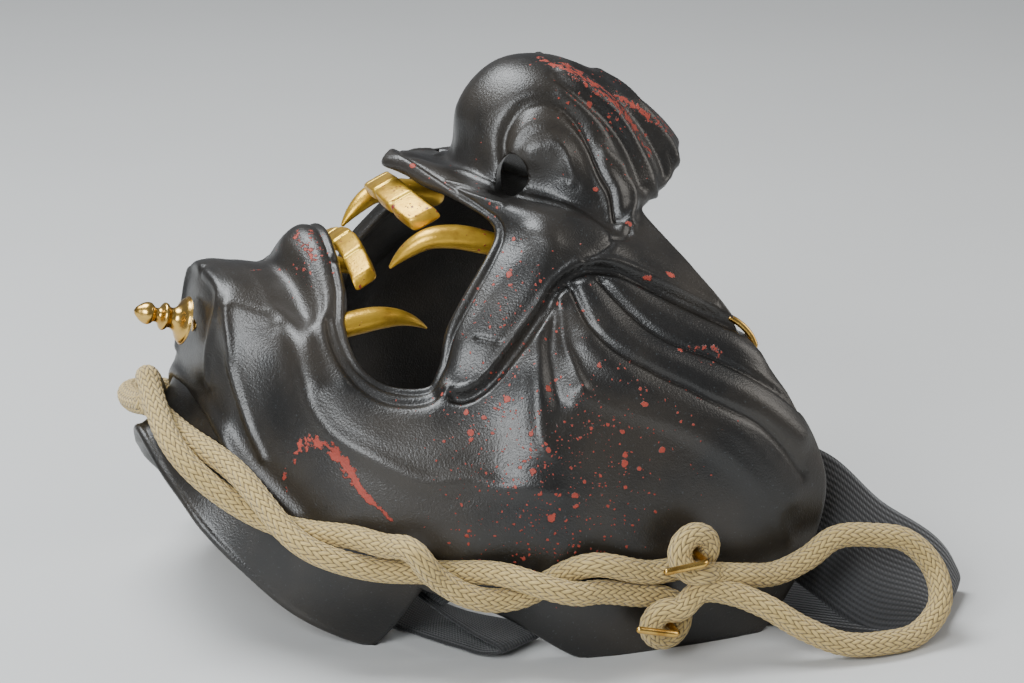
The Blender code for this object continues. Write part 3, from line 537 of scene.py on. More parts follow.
def paint_fields(points, normals):
    """Brushed paint and spatter on the left half, each from 0 to 1.

    A stroke has its strength within its half width and falls to 0 over STROKE_FADE;
    spatter is the sum of its centres' Gaussians.
    """
    brushed = np.zeros(len(points))
    for strength, half_width, shares in STROKES.values():
        line = surface_line(shares, 24)
        near = np.linalg.norm(points[:, None, :] - line[None, ::4, :], axis=2).min(1) < 0.012
        far, _ = line_field(points[near], normals[near], line)
        value = strength * np.clip(1.0 - (far - half_width / 1000.0) / STROKE_FADE, 0.0, 1.0)
        brushed[near] = np.maximum(brushed[near], value)
    spatter = np.zeros(len(points))
    for strength, reach, out, around in SPATTER.values():
        middle = face(out / 1000.0, around / 1000.0)[0, 0]
        far = np.linalg.norm(points - middle, axis=1)
        spatter += strength * np.exp(-(far / (reach / 1000.0)) ** 2)
    return brushed, np.clip(spatter, 0.0, 1.0)


def group_with(name, inputs, outputs):
    """An empty shader group with the named sockets, its input and output nodes."""
    made = bpy.data.node_groups.new(name, "ShaderNodeTree")
    for title, kind in inputs:
        made.interface.new_socket(title, in_out="INPUT", socket_type=kind)
    for title, kind in outputs:
        made.interface.new_socket(title, in_out="OUTPUT", socket_type=kind)
    return made, made.nodes.new("NodeGroupInput"), made.nodes.new("NodeGroupOutput")


def maths(tree, operation, *values, clamp=False):
    """One maths node; each value is a number or a socket."""
    node = tree.nodes.new("ShaderNodeMath")
    node.operation = operation
    node.use_clamp = clamp
    for slot, value in zip(node.inputs, values):
        if isinstance(value, (int, float)):
            slot.default_value = value
        else:
            tree.links.new(value, slot)
    return node.outputs[0]


def noise(tree, vector, scale, detail=3.0, roughness=0.5):
    node = tree.nodes.new("ShaderNodeTexNoise")
    node.inputs["Scale"].default_value = scale
    node.inputs["Detail"].default_value = detail
    node.inputs["Roughness"].default_value = roughness
    tree.links.new(vector, node.inputs["Vector"])
    return node.outputs["Fac"]


def mixed(tree, share, first, second):
    """Colour between two, each a colour or a socket."""
    node = tree.nodes.new("ShaderNodeMix")
    node.data_type = "RGBA"
    tree.links.new(share, node.inputs["Factor"])
    for slot, value in ((node.inputs["A"], first), (node.inputs["B"], second)):
        if isinstance(value, tuple):
            slot.default_value = (*value, 1.0)
        else:
            tree.links.new(value, slot)
    return node.outputs["Result"]


def stepped(tree, value, low, high):
    """0 below low, 1 above high, smooth between."""
    node = tree.nodes.new("ShaderNodeMapRange")
    node.interpolation_type = "SMOOTHSTEP"
    tree.links.new(value, node.inputs["Value"])
    node.inputs["From Min"].default_value = low
    node.inputs["From Max"].default_value = high
    return node.outputs["Result"]


def bumped(tree, height, distance, strength=1.0):
    node = tree.nodes.new("ShaderNodeBump")
    node.inputs["Strength"].default_value = strength
    node.inputs["Distance"].default_value = distance
    tree.links.new(height, node.inputs["Height"])
    return node.outputs["Normal"]


def red_paint_group():
    """Where dry red paint lies: brushed strokes with torn edges, and round drops.

    A drop fills a Voronoi cell's middle when the cell's random number is below
    the spatter's density there.
    """
    tree, given, result = group_with(
        "red paint",
        [("Place", "NodeSocketVector"), ("Brushed", "NodeSocketFloat"), ("Spatter", "NodeSocketFloat")],
        [("Paint", "NodeSocketFloat")])
    place = given.outputs["Place"]
    torn = maths(tree, "MULTIPLY", maths(tree, "SUBTRACT", noise(tree, place, 650.0, 4.0, 0.6), 0.5), 2.2)
    brushed = stepped(tree, maths(tree, "ADD", given.outputs["Brushed"], torn), 0.56, 0.72)
    paint = maths(tree, "MULTIPLY", brushed, stepped(tree, given.outputs["Brushed"], 0.0, 0.25))
    bent = tree.nodes.new("ShaderNodeTexNoise")
    bent.inputs["Scale"].default_value = 900.0
    tree.links.new(place, bent.inputs["Vector"])
    moved = tree.nodes.new("ShaderNodeVectorMath")
    moved.operation = "MULTIPLY_ADD"
    tree.links.new(bent.outputs["Color"], moved.inputs[0])
    moved.inputs[1].default_value = (DROP_BEND,) * 3
    tree.links.new(place, moved.inputs[2])
    for scale, small, large, chance in DROPS:
        cells = tree.nodes.new("ShaderNodeTexVoronoi")
        cells.inputs["Scale"].default_value = scale
        cells.inputs["Randomness"].default_value = 0.9
        tree.links.new(moved.outputs["Vector"], cells.inputs["Vector"])
        parts = tree.nodes.new("ShaderNodeSeparateColor")
        tree.links.new(cells.outputs["Color"], parts.inputs["Color"])
        width = maths(tree, "MULTIPLY_ADD", parts.outputs["Green"], large - small, small)
        inside = maths(tree, "SUBTRACT", width, cells.outputs["Distance"])
        picked = maths(tree, "LESS_THAN", parts.outputs["Red"],
                       maths(tree, "MULTIPLY", given.outputs["Spatter"], chance))
        drop = maths(tree, "MULTIPLY", stepped(tree, inside, 0.0, 0.05), picked)
        paint = maths(tree, "MAXIMUM", paint, drop)
    tree.links.new(paint, result.inputs["Paint"])
    return tree


def lacquer_group():
    """Warm black with an orange peel, duller in patches, with pale cool flecks as painted glints of
    highlight, red where the paint lies.
    """
    tree, given, result = group_with(
        "black lacquer", [("Place", "NodeSocketVector"), ("Paint", "NodeSocketFloat")],
        [("Color", "NodeSocketColor"), ("Roughness", "NodeSocketFloat"), ("Normal", "NodeSocketVector")])
    place, paint = given.outputs["Place"], given.outputs["Paint"]
    patches = noise(tree, place, 28.0, 4.0)
    colour = mixed(tree, stepped(tree, patches, 0.38, 0.66), LACQUER_DARK, LACQUER_BROWN)
    # Pale cool flecks painted in as glints of highlight
    glint_mask = stepped(tree, noise(tree, place, 1500.0, 2.0), 0.66, 0.74)
    colour = mixed(tree, maths(tree, "MULTIPLY", glint_mask, 0.35), colour, LACQUER_PAINTED_GLINT)
    dry = mixed(tree, noise(tree, place, 300.0, 4.0), RED_DARK, RED_LIGHT)
    tree.links.new(mixed(tree, paint, colour, dry), result.inputs["Color"])
    dull = maths(tree, "MULTIPLY_ADD", patches, 0.16, LACQUER_ROUGHNESS - 0.08)
    dull = maths(tree, "MULTIPLY_ADD", noise(tree, place, 700.0, 3.0), 0.10, dull)
    tree.links.new(maths(tree, "MULTIPLY_ADD", paint, 0.25, dull, clamp=True), result.inputs["Roughness"])
    peel = maths(tree, "MULTIPLY_ADD", noise(tree, place, 900.0, 2.0), 0.3, noise(tree, place, 2000.0, 2.0))
    height = maths(tree, "MULTIPLY_ADD", paint, 1.6, peel)
    tree.links.new(bumped(tree, height, PEEL_DEPTH), result.inputs["Normal"])
    return tree


def use_group(tree, group, **given):
    node = tree.nodes.new("ShaderNodeGroup")
    node.node_tree = group
    for title, value in given.items():
        if isinstance(value, (int, float)):
            node.inputs[title].default_value = value
        else:
            tree.links.new(value, node.inputs[title])
    return node.outputs


def new_material(name):
    """A material, its node tree, its shader and the socket of object coordinates."""
    made = bpy.data.materials.new(name)
    made.use_nodes = True
    tree = made.node_tree
    return made, tree, tree.nodes["Principled BSDF"], tree.nodes.new("ShaderNodeTexCoord").outputs["Object"]


def attribute(tree, name):
    node = tree.nodes.new("ShaderNodeAttribute")
    node.attribute_name = name
    return node.outputs["Fac"]


RED_PAINT = red_paint_group()


def lacquer_material():
    made, tree, shader, place = new_material("black_lacquer_skin")
    paint = use_group(tree, RED_PAINT, Place=place, Brushed=attribute(tree, "brushed"),
                      Spatter=attribute(tree, "spatter"))["Paint"]
    skin = use_group(tree, lacquer_group(), Place=place, Paint=paint)
    tree.links.new(skin["Color"], shader.inputs["Base Color"])
    tree.links.new(skin["Roughness"], shader.inputs["Roughness"])
    tree.links.new(skin["Normal"], shader.inputs["Normal"])
    shader.inputs["Specular IOR Level"].default_value = 0.62
    return made


def bored(body):
    """The body with both nostrils cut through it by closed oval cylinders."""
    tools = []
    for side in (-1.0, 1.0):
        point = face_point(*NOSTRIL_AT)[0]
        point[1] *= -side
        way = Vector((NOSTRIL_WAY[0], NOSTRIL_WAY[1] * side, NOSTRIL_WAY[2])).normalized()
        bpy.ops.mesh.primitive_cylinder_add(vertices=48, radius=NOSTRIL_RADIUS, depth=6.0 * WALL)
        tool = bpy.context.object
        turn = way.to_track_quat("Z", "Y").to_matrix().to_4x4()
        tool.matrix_world = (Matrix.Translation(Vector(point) + MIDDLE) @ turn
                             @ Matrix.Diagonal((1.0, NOSTRIL_STRETCH, 1.0, 1.0)))
        cut = body.modifiers.new("nostril", "BOOLEAN")
        cut.operation = "DIFFERENCE"
        cut.solver = "EXACT"
        cut.object = tool
        tools.append(tool)
    bpy.context.view_layer.update()
    made = bpy.data.meshes.new_from_object(body.evaluated_get(bpy.context.evaluated_depsgraph_get()))
    body.modifiers.clear()
    body.data = made
    for tool in tools:
        bpy.data.objects.remove(tool)


def make_face_shell():
    outer, inner = shell_walls()
    wall = closed_wall(both_halves(outer), both_halves(inner))
    wall[..., 2] = np.maximum(wall[..., 2], 0.0)
    half = wall[:ROWS_ROUND].reshape(-1, 3)
    brushed, spatter = paint_fields(half, grid_normals(wall[:ROWS_ROUND]).reshape(-1, 3))
    brushed, spatter = (field.reshape(ROWS_ROUND, -1) for field in (brushed, spatter))
    for field in (brushed, spatter):
        field[:, LINES_OUT:] = 0.0
    quads = grid_faces(*wall.shape[:2], True, True)
    shell = mesh_object("face_shell_skin", wall.reshape(-1, 3) + SHIFT, quads)
    point_value(shell, "brushed", np.concatenate((brushed, np.zeros_like(brushed[1:-1]))))
    point_value(shell, "spatter", np.concatenate((spatter, FAR_SPATTER * spatter[-2:0:-1])))
    bored(shell)

    plate = closed_wall(*flange_walls())
    plate[..., 2] = np.maximum(plate[..., 2], 0.0)
    rows, around = plate.shape[:2]
    ends = np.arange(around)
    caps = [ends[::-1], ends + (rows - 1) * around]
    flange = mesh_object("flange", plate.reshape(-1, 3) + SHIFT, grid_faces(rows, around, False, True), caps)
    for name in ("brushed", "spatter"):
        point_value(flange, name, np.zeros(rows * around))
    with bpy.context.temp_override(active_object=shell, selected_editable_objects=[shell, flange]):
        bpy.ops.object.join()
    shell.data.materials.clear()
    shell.data.materials.append(lacquer_material())
    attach(shell, "root")
    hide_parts("face_shell")


make_face_shell()


# Teeth
# Four gilt teeth cast in one bar behind each lip, with rounded tips and a painted
# highlight as a bright line in each gap between them.
TOOTH_WIDTH = 0.0100
TOOTH_THICKNESS = 0.0038
TOOTH_GROOVE = 0.0005
TOOTH_GROOVE_REACH = 0.00045
TOOTH_ROUNDING = 0.07
# Reach of the painted highlight line at each gap between teeth
TOOTH_HIGHLIGHT_REACH = 0.0008
TOOTH_SQUARE = 0.36
TEETH_ROWS = 260
TEETH_SIDES = 40
# name: share round the face, root's place from the lip along X and Z, how far
# the ends lie from the middle along X and Z, the teeth's way along X and Z, height
TEETH = {
    "upper_teeth": (1.0, (0.0024, -0.0059), (0.0040, -0.0038), (-0.91, -0.42), 0.0078),
    "lower_teeth": (0.0, (0.0016, -0.0035), (-0.0008, -0.0052), (0.87, 0.49), 0.0064),
}
GOLD = (0.62, 0.37, 0.038)
GOLD_DEEP = (0.36, 0.18, 0.018)
# Colour of the painted highlight lines between the teeth
GOLD_PAINTED_HIGHLIGHT = (0.85, 0.57, 0.080)
GOLD_ROUGHNESS = 0.36


def gold_material(name, red):
    """Gold paint: granular, worn brown in patches, lighter where a point attribute paints
    a highlight line; red is how much red paint it caught."""
    made, tree, shader, place = new_material(name)
    worn = stepped(tree, noise(tree, place, 260.0, 4.0, 0.6), 0.44, 0.72)
    colour = mixed(tree, maths(tree, "MULTIPLY", worn, 0.7), GOLD, GOLD_DEEP)
    # Painted highlight lines, from the teeth's point attribute
    colour = mixed(tree, attribute(tree, "painted_highlight"), colour, GOLD_PAINTED_HIGHLIGHT)
    paint = use_group(tree, RED_PAINT, Place=place, Brushed=0.0, Spatter=red)["Paint"]
    tree.links.new(mixed(tree, paint, colour, RED_DARK), shader.inputs["Base Color"])
    tree.links.new(maths(tree, "MULTIPLY_ADD", paint, -0.75, 0.75, clamp=True), shader.inputs["Metallic"])
    rough = maths(tree, "MULTIPLY_ADD", noise(tree, place, 420.0, 3.0), 0.22, GOLD_ROUGHNESS - 0.11)
    tree.links.new(rough, shader.inputs["Roughness"])
    grain = maths(tree, "ADD", noise(tree, place, 1100.0, 3.0), maths(tree, "MULTIPLY", paint, 1.2))
    tree.links.new(bumped(tree, grain, 0.00007), shader.inputs["Normal"])
    return made


def power(values, exponent):
    return np.sign(values) * np.abs(values) ** exponent


def teeth_bar(seat_round, seat, sweep, way, height):
    """Rings across the bar: rounded oblongs, lower at each gap and closed at both ends.

    The tooth's height falls with the cube of the distance from its middle, and
    each gap takes TOOTH_GROOVE x exp(-(distance / reach)^2) off the front and tip.
    """
    lip, _, _ = face_point(0.0, seat_round)
    way = unit(np.array((way[0], 0.0, way[1])))
    deep = np.cross((0.0, 1.0, 0.0), way)
    deep *= -np.sign(deep[2])
    across = 2.0 * TOOTH_WIDTH * np.sin(np.linspace(-math.pi / 2, math.pi / 2, TEETH_ROWS))
    share = np.abs(across) / (2.0 * TOOTH_WIDTH)
    within = np.mod(across / TOOTH_WIDTH, 1.0) - 0.5
    gap = (0.5 - np.abs(within)) * TOOTH_WIDTH
    groove = TOOTH_GROOVE * np.exp(-((gap / TOOTH_GROOVE_REACH) ** 2))
    close = np.sqrt(np.clip(1.0 - ((share - 0.93) / 0.07).clip(0.0, 1.0) ** 2, 0.0, 1.0))
    tall = (height * (1.0 - TOOTH_ROUNDING * np.abs(2.0 * within) ** 4) - groove) * (0.35 + 0.65 * close)
    thick = (TOOTH_THICKNESS - groove) * close
    root = lip + np.stack((seat[0] + sweep[0] * share**2, 0.0 * share, seat[1] + sweep[1] * share**1.6), 1)
    root[:, 1] = across
    turn = np.linspace(0.0, 2.0 * math.pi, TEETH_SIDES, endpoint=False)
    up = 0.5 * (1.0 + power(np.cos(turn), TOOTH_SQUARE))
    back = 0.5 * (1.0 - power(np.sin(turn), TOOTH_SQUARE))
    middle = root + deep * TOOTH_THICKNESS / 2.0
    rings = (middle[:, None] + (tall[:, None] * up)[..., None] * way
             + (thick[:, None] * (back - 0.5) + (groove[:, None] * 0.5))[..., None] * deep)
    # A painted highlight line along each gap, not near the bar's ends
    painted_highlight = np.exp(-((gap / TOOTH_HIGHLIGHT_REACH) ** 2)) * (share < 0.9)
    return rings, np.repeat(painted_highlight, TEETH_SIDES)


def closed_tube(name, rings):
    """A closed mesh through rings of equal count, its ends flat; its faces are turned outward."""
    rows, around = rings.shape[:2]
    ends = np.arange(around)
    points = rings.reshape(-1, 3)
    quads = grid_faces(rows, around, False, True)
    caps = [ends[::-1], ends + (rows - 1) * around]
    centres = rings.mean(1, keepdims=True)
    outward = (grid_normals(rings) * (rings - centres)).sum()
    if outward < 0.0:
        quads, caps = quads[:, ::-1], [cap[::-1] for cap in caps]
    return mesh_object(name, points, quads, caps)


def finish_piece(body, node, material):
    body.data.materials.append(material)
    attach(body, "root")
    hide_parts(node)


def make_teeth():
    gold = gold_material("gold_paint_teeth", 0.5)
    for node, table in TEETH.items():
        rings, painted_highlight = teeth_bar(*table)
        bar = closed_tube(node + "_skin", rings + SHIFT)
        point_value(bar, "painted_highlight", painted_highlight)
        finish_piece(bar, node, gold)


make_teeth()


# Tusks
# Four gilt tusks, one in each corner of both jaws, curved and drawn out to a
# point; their roots are glued inside the lip.
TUSK_RADIUS = 0.0036
GAP = 0.0003
TUSK_RINGS = 90
TUSK_SIDES = 32
TUSK_FLAT = 0.88
# name: share round the face, way inward, length, then centre line and radius as
# shares of the length and of TUSK_RADIUS
TUSKS = {
    "upper_tusk": (0.700, (-0.40, 0.74, -0.54), 0.0250, (
        (0.18, -0.03, -0.06, 0.94), (0.00, 0.00, 0.00, 1.00), (-0.27, 0.04, 0.06, 0.98),
        (-0.53, 0.08, 0.05, 0.86), (-0.74, 0.13, -0.07, 0.62), (-0.90, 0.17, -0.23, 0.18))),
    "lower_tusk": (0.168, (0.66, 0.75, 0.10), 0.0195, (
        (-0.20, 0.00, -0.03, 0.98), (0.00, 0.00, 0.00, 1.00), (0.31, 0.00, 0.03, 0.92),
        (0.63, 0.03, -0.01, 0.66), (0.86, 0.08, -0.11, 0.38), (1.02, 0.13, -0.22, 0.10))),
}


def tube_frames(line):
    """Tangents and two crosswise unit vectors, turned along the line as little as may be.

    Each ring's first vector is the last one's, less its part along the new tangent.
    """
    ahead = unit(np.gradient(line, axis=0))
    first = np.cross(ahead[0], (0.0, 0.0, 1.0))
    if np.linalg.norm(first) < 0.1:
        first = np.cross(ahead[0], (0.0, 1.0, 0.0))
    sides = np.empty_like(line)
    sides[0] = unit(first)
    for k in range(1, len(line)):
        step = sides[k - 1] - ahead[k] * (sides[k - 1] @ ahead[k])
        sides[k] = step / np.linalg.norm(step)
    return ahead, sides, np.cross(ahead, sides)


def tube_rings(line, radius, sides, flat=1.0):
    """Rings of the given radii round the line, both ends drawn in to half a ball."""
    ahead, across, upward = tube_frames(line)
    turn = np.linspace(0.0, math.pi / 2, 7)[1:]
    radius = np.broadcast_to(radius, len(line))
    start = line[0] - ahead[0] * (np.sin(turn) * radius[0])[:, None]
    finish = line[-1] + ahead[-1] * (np.sin(turn) * radius[-1])[:, None]
    shrink = np.maximum(np.cos(turn), 0.02)
    centres = np.concatenate((start[::-1], line, finish))
    radii = np.concatenate((radius[0] * shrink[::-1], radius, radius[-1] * shrink))
    across = np.concatenate((np.repeat(across[:1], 6, 0), across, np.repeat(across[-1:], 6, 0)))
    upward = np.concatenate((np.repeat(upward[:1], 6, 0), upward, np.repeat(upward[-1:], 6, 0)))
    way = np.linspace(0.0, 2.0 * math.pi, sides, endpoint=False)
    return (centres[:, None] + radii[:, None, None] * (np.cos(way)[None, :, None] * across[:, None]
            + flat * np.sin(way)[None, :, None] * upward[:, None]))


def make_tusks():
    gold = gold_material("gold_paint_tusks", 0.10)
    for name, (seat_round, inward, length, table) in TUSKS.items():
        lip, _, _ = face_point(0.0, seat_round)
        root = lip + unit(np.array(inward)) * (WALL + GAP + TUSK_RADIUS)
        route = [(*(root + np.array((x, y, z)) * length), r) for x, y, z, r in table]
        line = along(route, TUSK_RINGS)
        for hand, side in (("left", 1.0), ("right", -1.0)):
            centre = line[:, :3] * (1.0, side, 1.0)
            rings = tube_rings(centre, line[:, 3] * TUSK_RADIUS, TUSK_SIDES, TUSK_FLAT) + SHIFT
            finish_piece(closed_tube(f"{name}_{hand}_skin", rings), f"{name}_{hand}", gold)


make_tusks()


# Chin peg, jaw pins and cheek hooks
# A turned brass finial screwed under the chin, four bent brass pins that the
# cord is looped round, and a brass staple over the end of each cheek groove.
PEG_LENGTH = 0.0166
PEG_RADIUS = 0.0060
PEG_TILT = math.radians(17.5)
PEG_RINGS = 150
PEG_SIDES = 56
# Share of the peg's length from its seat, share of its radius
PEG_PROFILE = ((0.000, 0.40), (0.135, 0.40), (0.150, 0.92), (0.185, 1.00), (0.225, 0.92),
               (0.290, 0.62), (0.370, 0.46), (0.440, 0.48), (0.490, 0.60), (0.535, 0.58),
               (0.590, 0.36), (0.670, 0.33), (0.730, 0.46), (0.820, 0.47), (0.920, 0.30),
               (0.985, 0.10), (1.0, 0.01))
WIRE_RADIUS = 0.0009
PIN_ARM = 0.0110
PIN_BEND = 0.0016
HOOK_SPAN = 0.0076
HOOK_LIFT = 0.0016
# Half spans along the cut edge from the hook's middle, rise as shares of HOOK_LIFT
HOOK_BOW = ((-1.0, -0.001), (-1.0, 0.6), (-0.93, 1.5), (-0.6, 2.5), (0.0, 3.0), (0.6, 2.5),
            (0.93, 1.5), (1.0, 0.6), (1.0, -0.001))
CORD_DIAMETER = 0.0062
# Share round the face, share out from the mouth, way of the pin's arm
PINS = {
    "upper": (0.559, 0.855, (-1.00, 0.00, -0.08)),
    "lower": (0.534, 0.930, (-0.97, 0.00, 0.26)),
}
BRASS = (0.66, 0.42, 0.115)
BRASS_DEEP = (0.40, 0.215, 0.045)


def brass_material():
    """Polished brass, a little darker in blotches, with a fine grain."""
    made, tree, shader, place = new_material("brass_skin")
    blotch = stepped(tree, noise(tree, place, 180.0, 3.0), 0.45, 0.75)
    tree.links.new(mixed(tree, blotch, BRASS, BRASS_DEEP), shader.inputs["Base Color"])
    shader.inputs["Metallic"].default_value = 1.0
    rough = maths(tree, "MULTIPLY_ADD", noise(tree, place, 500.0, 3.0), 0.16, 0.17)
    tree.links.new(rough, shader.inputs["Roughness"])
    tree.links.new(bumped(tree, noise(tree, place, 900.0, 2.0), 0.00003), shader.inputs["Normal"])
    return made


def make_peg(brass):
    seat, _, _ = face_point(OUT_KNOTS[6], 0.0)
    profile = np.array(PEG_PROFILE)
    share = np.linspace(0.0, 1.0, PEG_RINGS)
    radius = np.maximum(smooth(profile[:, 0], profile[:, 1:], share)[:, 0], 0.01) * PEG_RADIUS
    way = np.array((-math.cos(PEG_TILT), 0.0, math.sin(PEG_TILT)))
    up = np.array((math.sin(PEG_TILT), 0.0, math.cos(PEG_TILT)))
    turn = np.linspace(0.0, 2.0 * math.pi, PEG_SIDES, endpoint=False)[None, :, None]
    rings = (seat + (share * PEG_LENGTH)[:, None, None] * way
             + radius[:, None, None] * (np.cos(turn) * up + np.sin(turn) * np.array((0.0, 1.0, 0.0))))
    finish_piece(closed_tube("chin_peg_skin", rings + SHIFT), "chin_peg", brass)


def pin_seat(which):
    around, out, way = PINS[which]
    point, normal, _ = face_point(out, around)
    return point, normal, unit(np.array(way))


def pin_line(which):
    """A post out of the jaw, a quarter turn, then an arm above the cord."""
    point, normal, way = pin_seat(which)
    post = 2.0 * CORD_DIAMETER + 4.0 * GAP + 2.0 * WIRE_RADIUS
    bend = np.linspace(0.0, math.pi / 2, 9)
    line = [point - normal * 0.0015, point + normal * (post - PIN_BEND) * 0.5]
    line += [point + normal * (post - PIN_BEND * (1.0 - math.sin(t))) + way * PIN_BEND * (1.0 - math.cos(t))
             for t in bend]
    line += [point + normal * post + way * (PIN_BEND + (PIN_ARM - PIN_BEND) * t) for t in (0.33, 0.67, 1.0)]
    return along(line, 80)


def hook_line():
    """A shallow bow along the cheek's cut edge, both ends set into it."""
    middle = ROUND_AT["groove"]
    before, after = face_point(1.0, middle - 0.01)[0], face_point(1.0, middle + 0.01)[0]
    reach = 0.01 * HOOK_SPAN / np.linalg.norm(after - before)
    line = []
    for step, lift in HOOK_BOW:
        edge, normal, radial = face_point(1.0, middle + step * reach)
        line.append(edge + radial * lift * HOOK_LIFT - normal * WALL * 0.4)
    return along(line, 80)


def make_fittings():
    brass = brass_material()
    make_peg(brass)
    for hand, side in (("left", 1.0), ("right", -1.0)):
        flip = (1.0, side, 1.0)
        for which in PINS:
            rings = tube_rings(pin_line(which) * flip, WIRE_RADIUS, 20) + SHIFT
            name = f"jaw_pin_{which}_{hand}"
            finish_piece(closed_tube(name + "_skin", rings), name, brass)
        rings = tube_rings(hook_line() * flip, WIRE_RADIUS, 20) + SHIFT
        finish_piece(closed_tube(f"cheek_hook_{hand}_skin", rings), f"cheek_hook_{hand}", brass)


make_fittings()


# Cord
# One length of 6 mm braided tan cord, doubled at the near loop: its two strands
# twist under the jaw, bulge at one crossing, and each goes round a near jaw pin.
CORD_STEP = 0.00052
CORD_SIDES = 46
BRAID_STRANDS = 16
BRAID_PITCH = 0.0025
BRAID_RELIEF = 0.00035
STRAND_POINTS = 60
RING_POINTS = 13
CORD_TAIL = 0.012
# Middle of the two strands, and the share of the way at which they have turned
# about each other by so many half turns
CORD_ROUTE = ((-615, 0, 424), (-607, 157, 392), (-589, 314, 360), (-542, 456, 312),
              (-494, 581, 266), (-447, 706, 239), (-384, 805, 224), (-316, 879, 203),
              (-239, 935, 170), (-169, 991, 161), (-100, 1044, 168), (-39, 1069, 177))
CORD_TURNS = ((0.0, 0.5), (0.18, 1.0), (0.46, 2.0), (0.72, 3.0), (0.92, 4.0), (1.0, 4.5))
KNOT_AT = 0.66
KNOT_SPREAD = 0.034
KNOT_SWELL = 1.35
CORD_LOOP = ((136, 1123, 166), (193, 1117, 153), (245, 1097, 143), (307, 1078, 160),
             (355, 1065, 189), (422, 1071, 186), (477, 1091, 170), (514, 1143, 119),
             (508, 1221, 70), (459, 1273, 28), (394, 1299, 25), (328, 1292, 33),
             (270, 1260, 63), (205, 1201, 111), (166, 1162, 130), (114, 1143, 140))
CORD_LIGHT = (0.64, 0.47, 0.185)
CORD_MIDDLE = (0.50, 0.35, 0.120)
# Deepest tone of the cord: painted shade where its yarns sink
CORD_PAINTED_SHADE = (0.070, 0.040, 0.013)


def strand(sign, near_side):
    """One strand: the route's middle plus a turning offset, turned the other way
    for the far side; at the near knot the uppermost strand stands out further."""
    centre = along(np.array(CORD_ROUTE) * SHARE * NEAR, STRAND_POINTS)
    ahead = unit(np.gradient(centre, axis=0))
    out = centre * (1.0, 1.0, 0.0) + (0.15 * LENGTH, 0.0, 0.0)
    out = unit(out - (out * ahead).sum(1)[:, None] * ahead)
    side = np.cross(ahead, out)
    share = np.linspace(0.0, 1.0, len(centre))
    table = np.array(CORD_TURNS)
    turn = math.pi * smooth(table[:, 0], table[:, 1:], share)[:, 0]
    outward = np.cos(turn) if near_side else -np.cos(turn)
    offset = sign * (0.5 * CORD_DIAMETER + GAP) * (outward[:, None] * out + np.sin(turn)[:, None] * side)
    if near_side and offset[int(KNOT_AT * len(centre)), 2] > 0.0:
        offset *= 1.0 + KNOT_SWELL * np.exp(-(((share - KNOT_AT) / KNOT_SPREAD) ** 2))[:, None]
    return centre + offset


def ring_line(which):
    """Once round a jaw pin, rising from the jaw to the pin's arm."""
    point, normal, way = pin_seat(which)
    radius = 0.5 * CORD_DIAMETER + WIRE_RADIUS + 2.0 * GAP
    up = np.cross(normal, way)
    up *= np.sign(up[2]) * (-1.0 if which == "upper" else 1.0)
    low = 0.5 * CORD_DIAMETER + GAP
    share = np.linspace(0.0, 1.0, RING_POINTS)[:, None]
    turn = 2.0 * math.pi * share
    lift = low + share * (CORD_DIAMETER + 3.0 * GAP)
    round_pin = point + normal * lift + radius * (np.cos(turn) * up - np.sin(turn) * way)
    return np.concatenate(([point + normal * low + radius * up + way * 1.5 * CORD_DIAMETER], round_pin))


def tail_line(which):
    """Past a far jaw pin to a bare end, above the upper pin or below the lower."""
    point, normal, way = pin_seat(which)
    up = np.cross(normal, way)
    up *= np.sign(up[2]) * (1.0 if which == "upper" else -1.0)
    middle = point + normal * (0.5 * CORD_DIAMETER + 2.0 * GAP)
    middle = middle + up * (0.5 * CORD_DIAMETER + WIRE_RADIUS + GAP)
    return np.array((middle, middle - way * CORD_TAIL + normal * CORD_DIAMETER * 0.3)) * NEAR


def cord_line():
    """Far tail, far strand, near strand, pin, loop, pin, near strand, far strand, far tail."""
    names = {1.0: "upper", -1.0: "lower"}
    first, second = (strand(sign, True) for sign in (1.0, -1.0))
    if first[-1, 2] < second[-1, 2]:
        names = {1.0: "lower", -1.0: "upper"}
    near = {names[1.0]: first[:-1], names[-1.0]: second[:-1]}
    far = {names[sign]: strand(sign, False) * NEAR for sign in (1.0, -1.0)}
    far_name = {"upper": "lower", "lower": "upper"}
    if far["upper"][-1, 2] > far["lower"][-1, 2]:
        far_name = {"upper": "upper", "lower": "lower"}
    start = np.concatenate((tail_line(far_name["lower"])[::-1], far["lower"][:0:-1]))
    loop = np.array(CORD_LOOP) * SHARE * NEAR
    middle = np.concatenate((near["lower"], ring_line("lower"), loop[::-1], ring_line("upper")[::-1],
                             near["upper"][::-1]))
    finish = np.concatenate((far["upper"][1:], tail_line(far_name["upper"])))
    return np.concatenate((start, middle, finish))


def braid_height(across, lengthwise):
    """Height of the braid, 0 to 1: two families of crossing yarns, each over two, under two.

    across is the share round the cord, lengthwise the way along it. A yarn's
    section is half a circle and it sinks at both ends of each float.
    """
    a = BRAID_STRANDS * across + lengthwise / BRAID_PITCH
    b = BRAID_STRANDS * across - lengthwise / BRAID_PITCH
    k = np.mod(np.floor(a) + np.floor(b), 4.0)
    over = k < 2.0
    width = np.where(over, np.mod(a, 1.0), np.mod(b, 1.0))
    float_share = np.where(over, (k + np.mod(b, 1.0)) / 2.0, (k - 2.0 + np.mod(a, 1.0)) / 2.0)
    bow = np.sqrt(np.clip(1.0 - (2.0 * width - 1.0) ** 2, 0.0, 1.0))
    return bow * (0.45 + 0.55 * np.sin(math.pi * float_share))


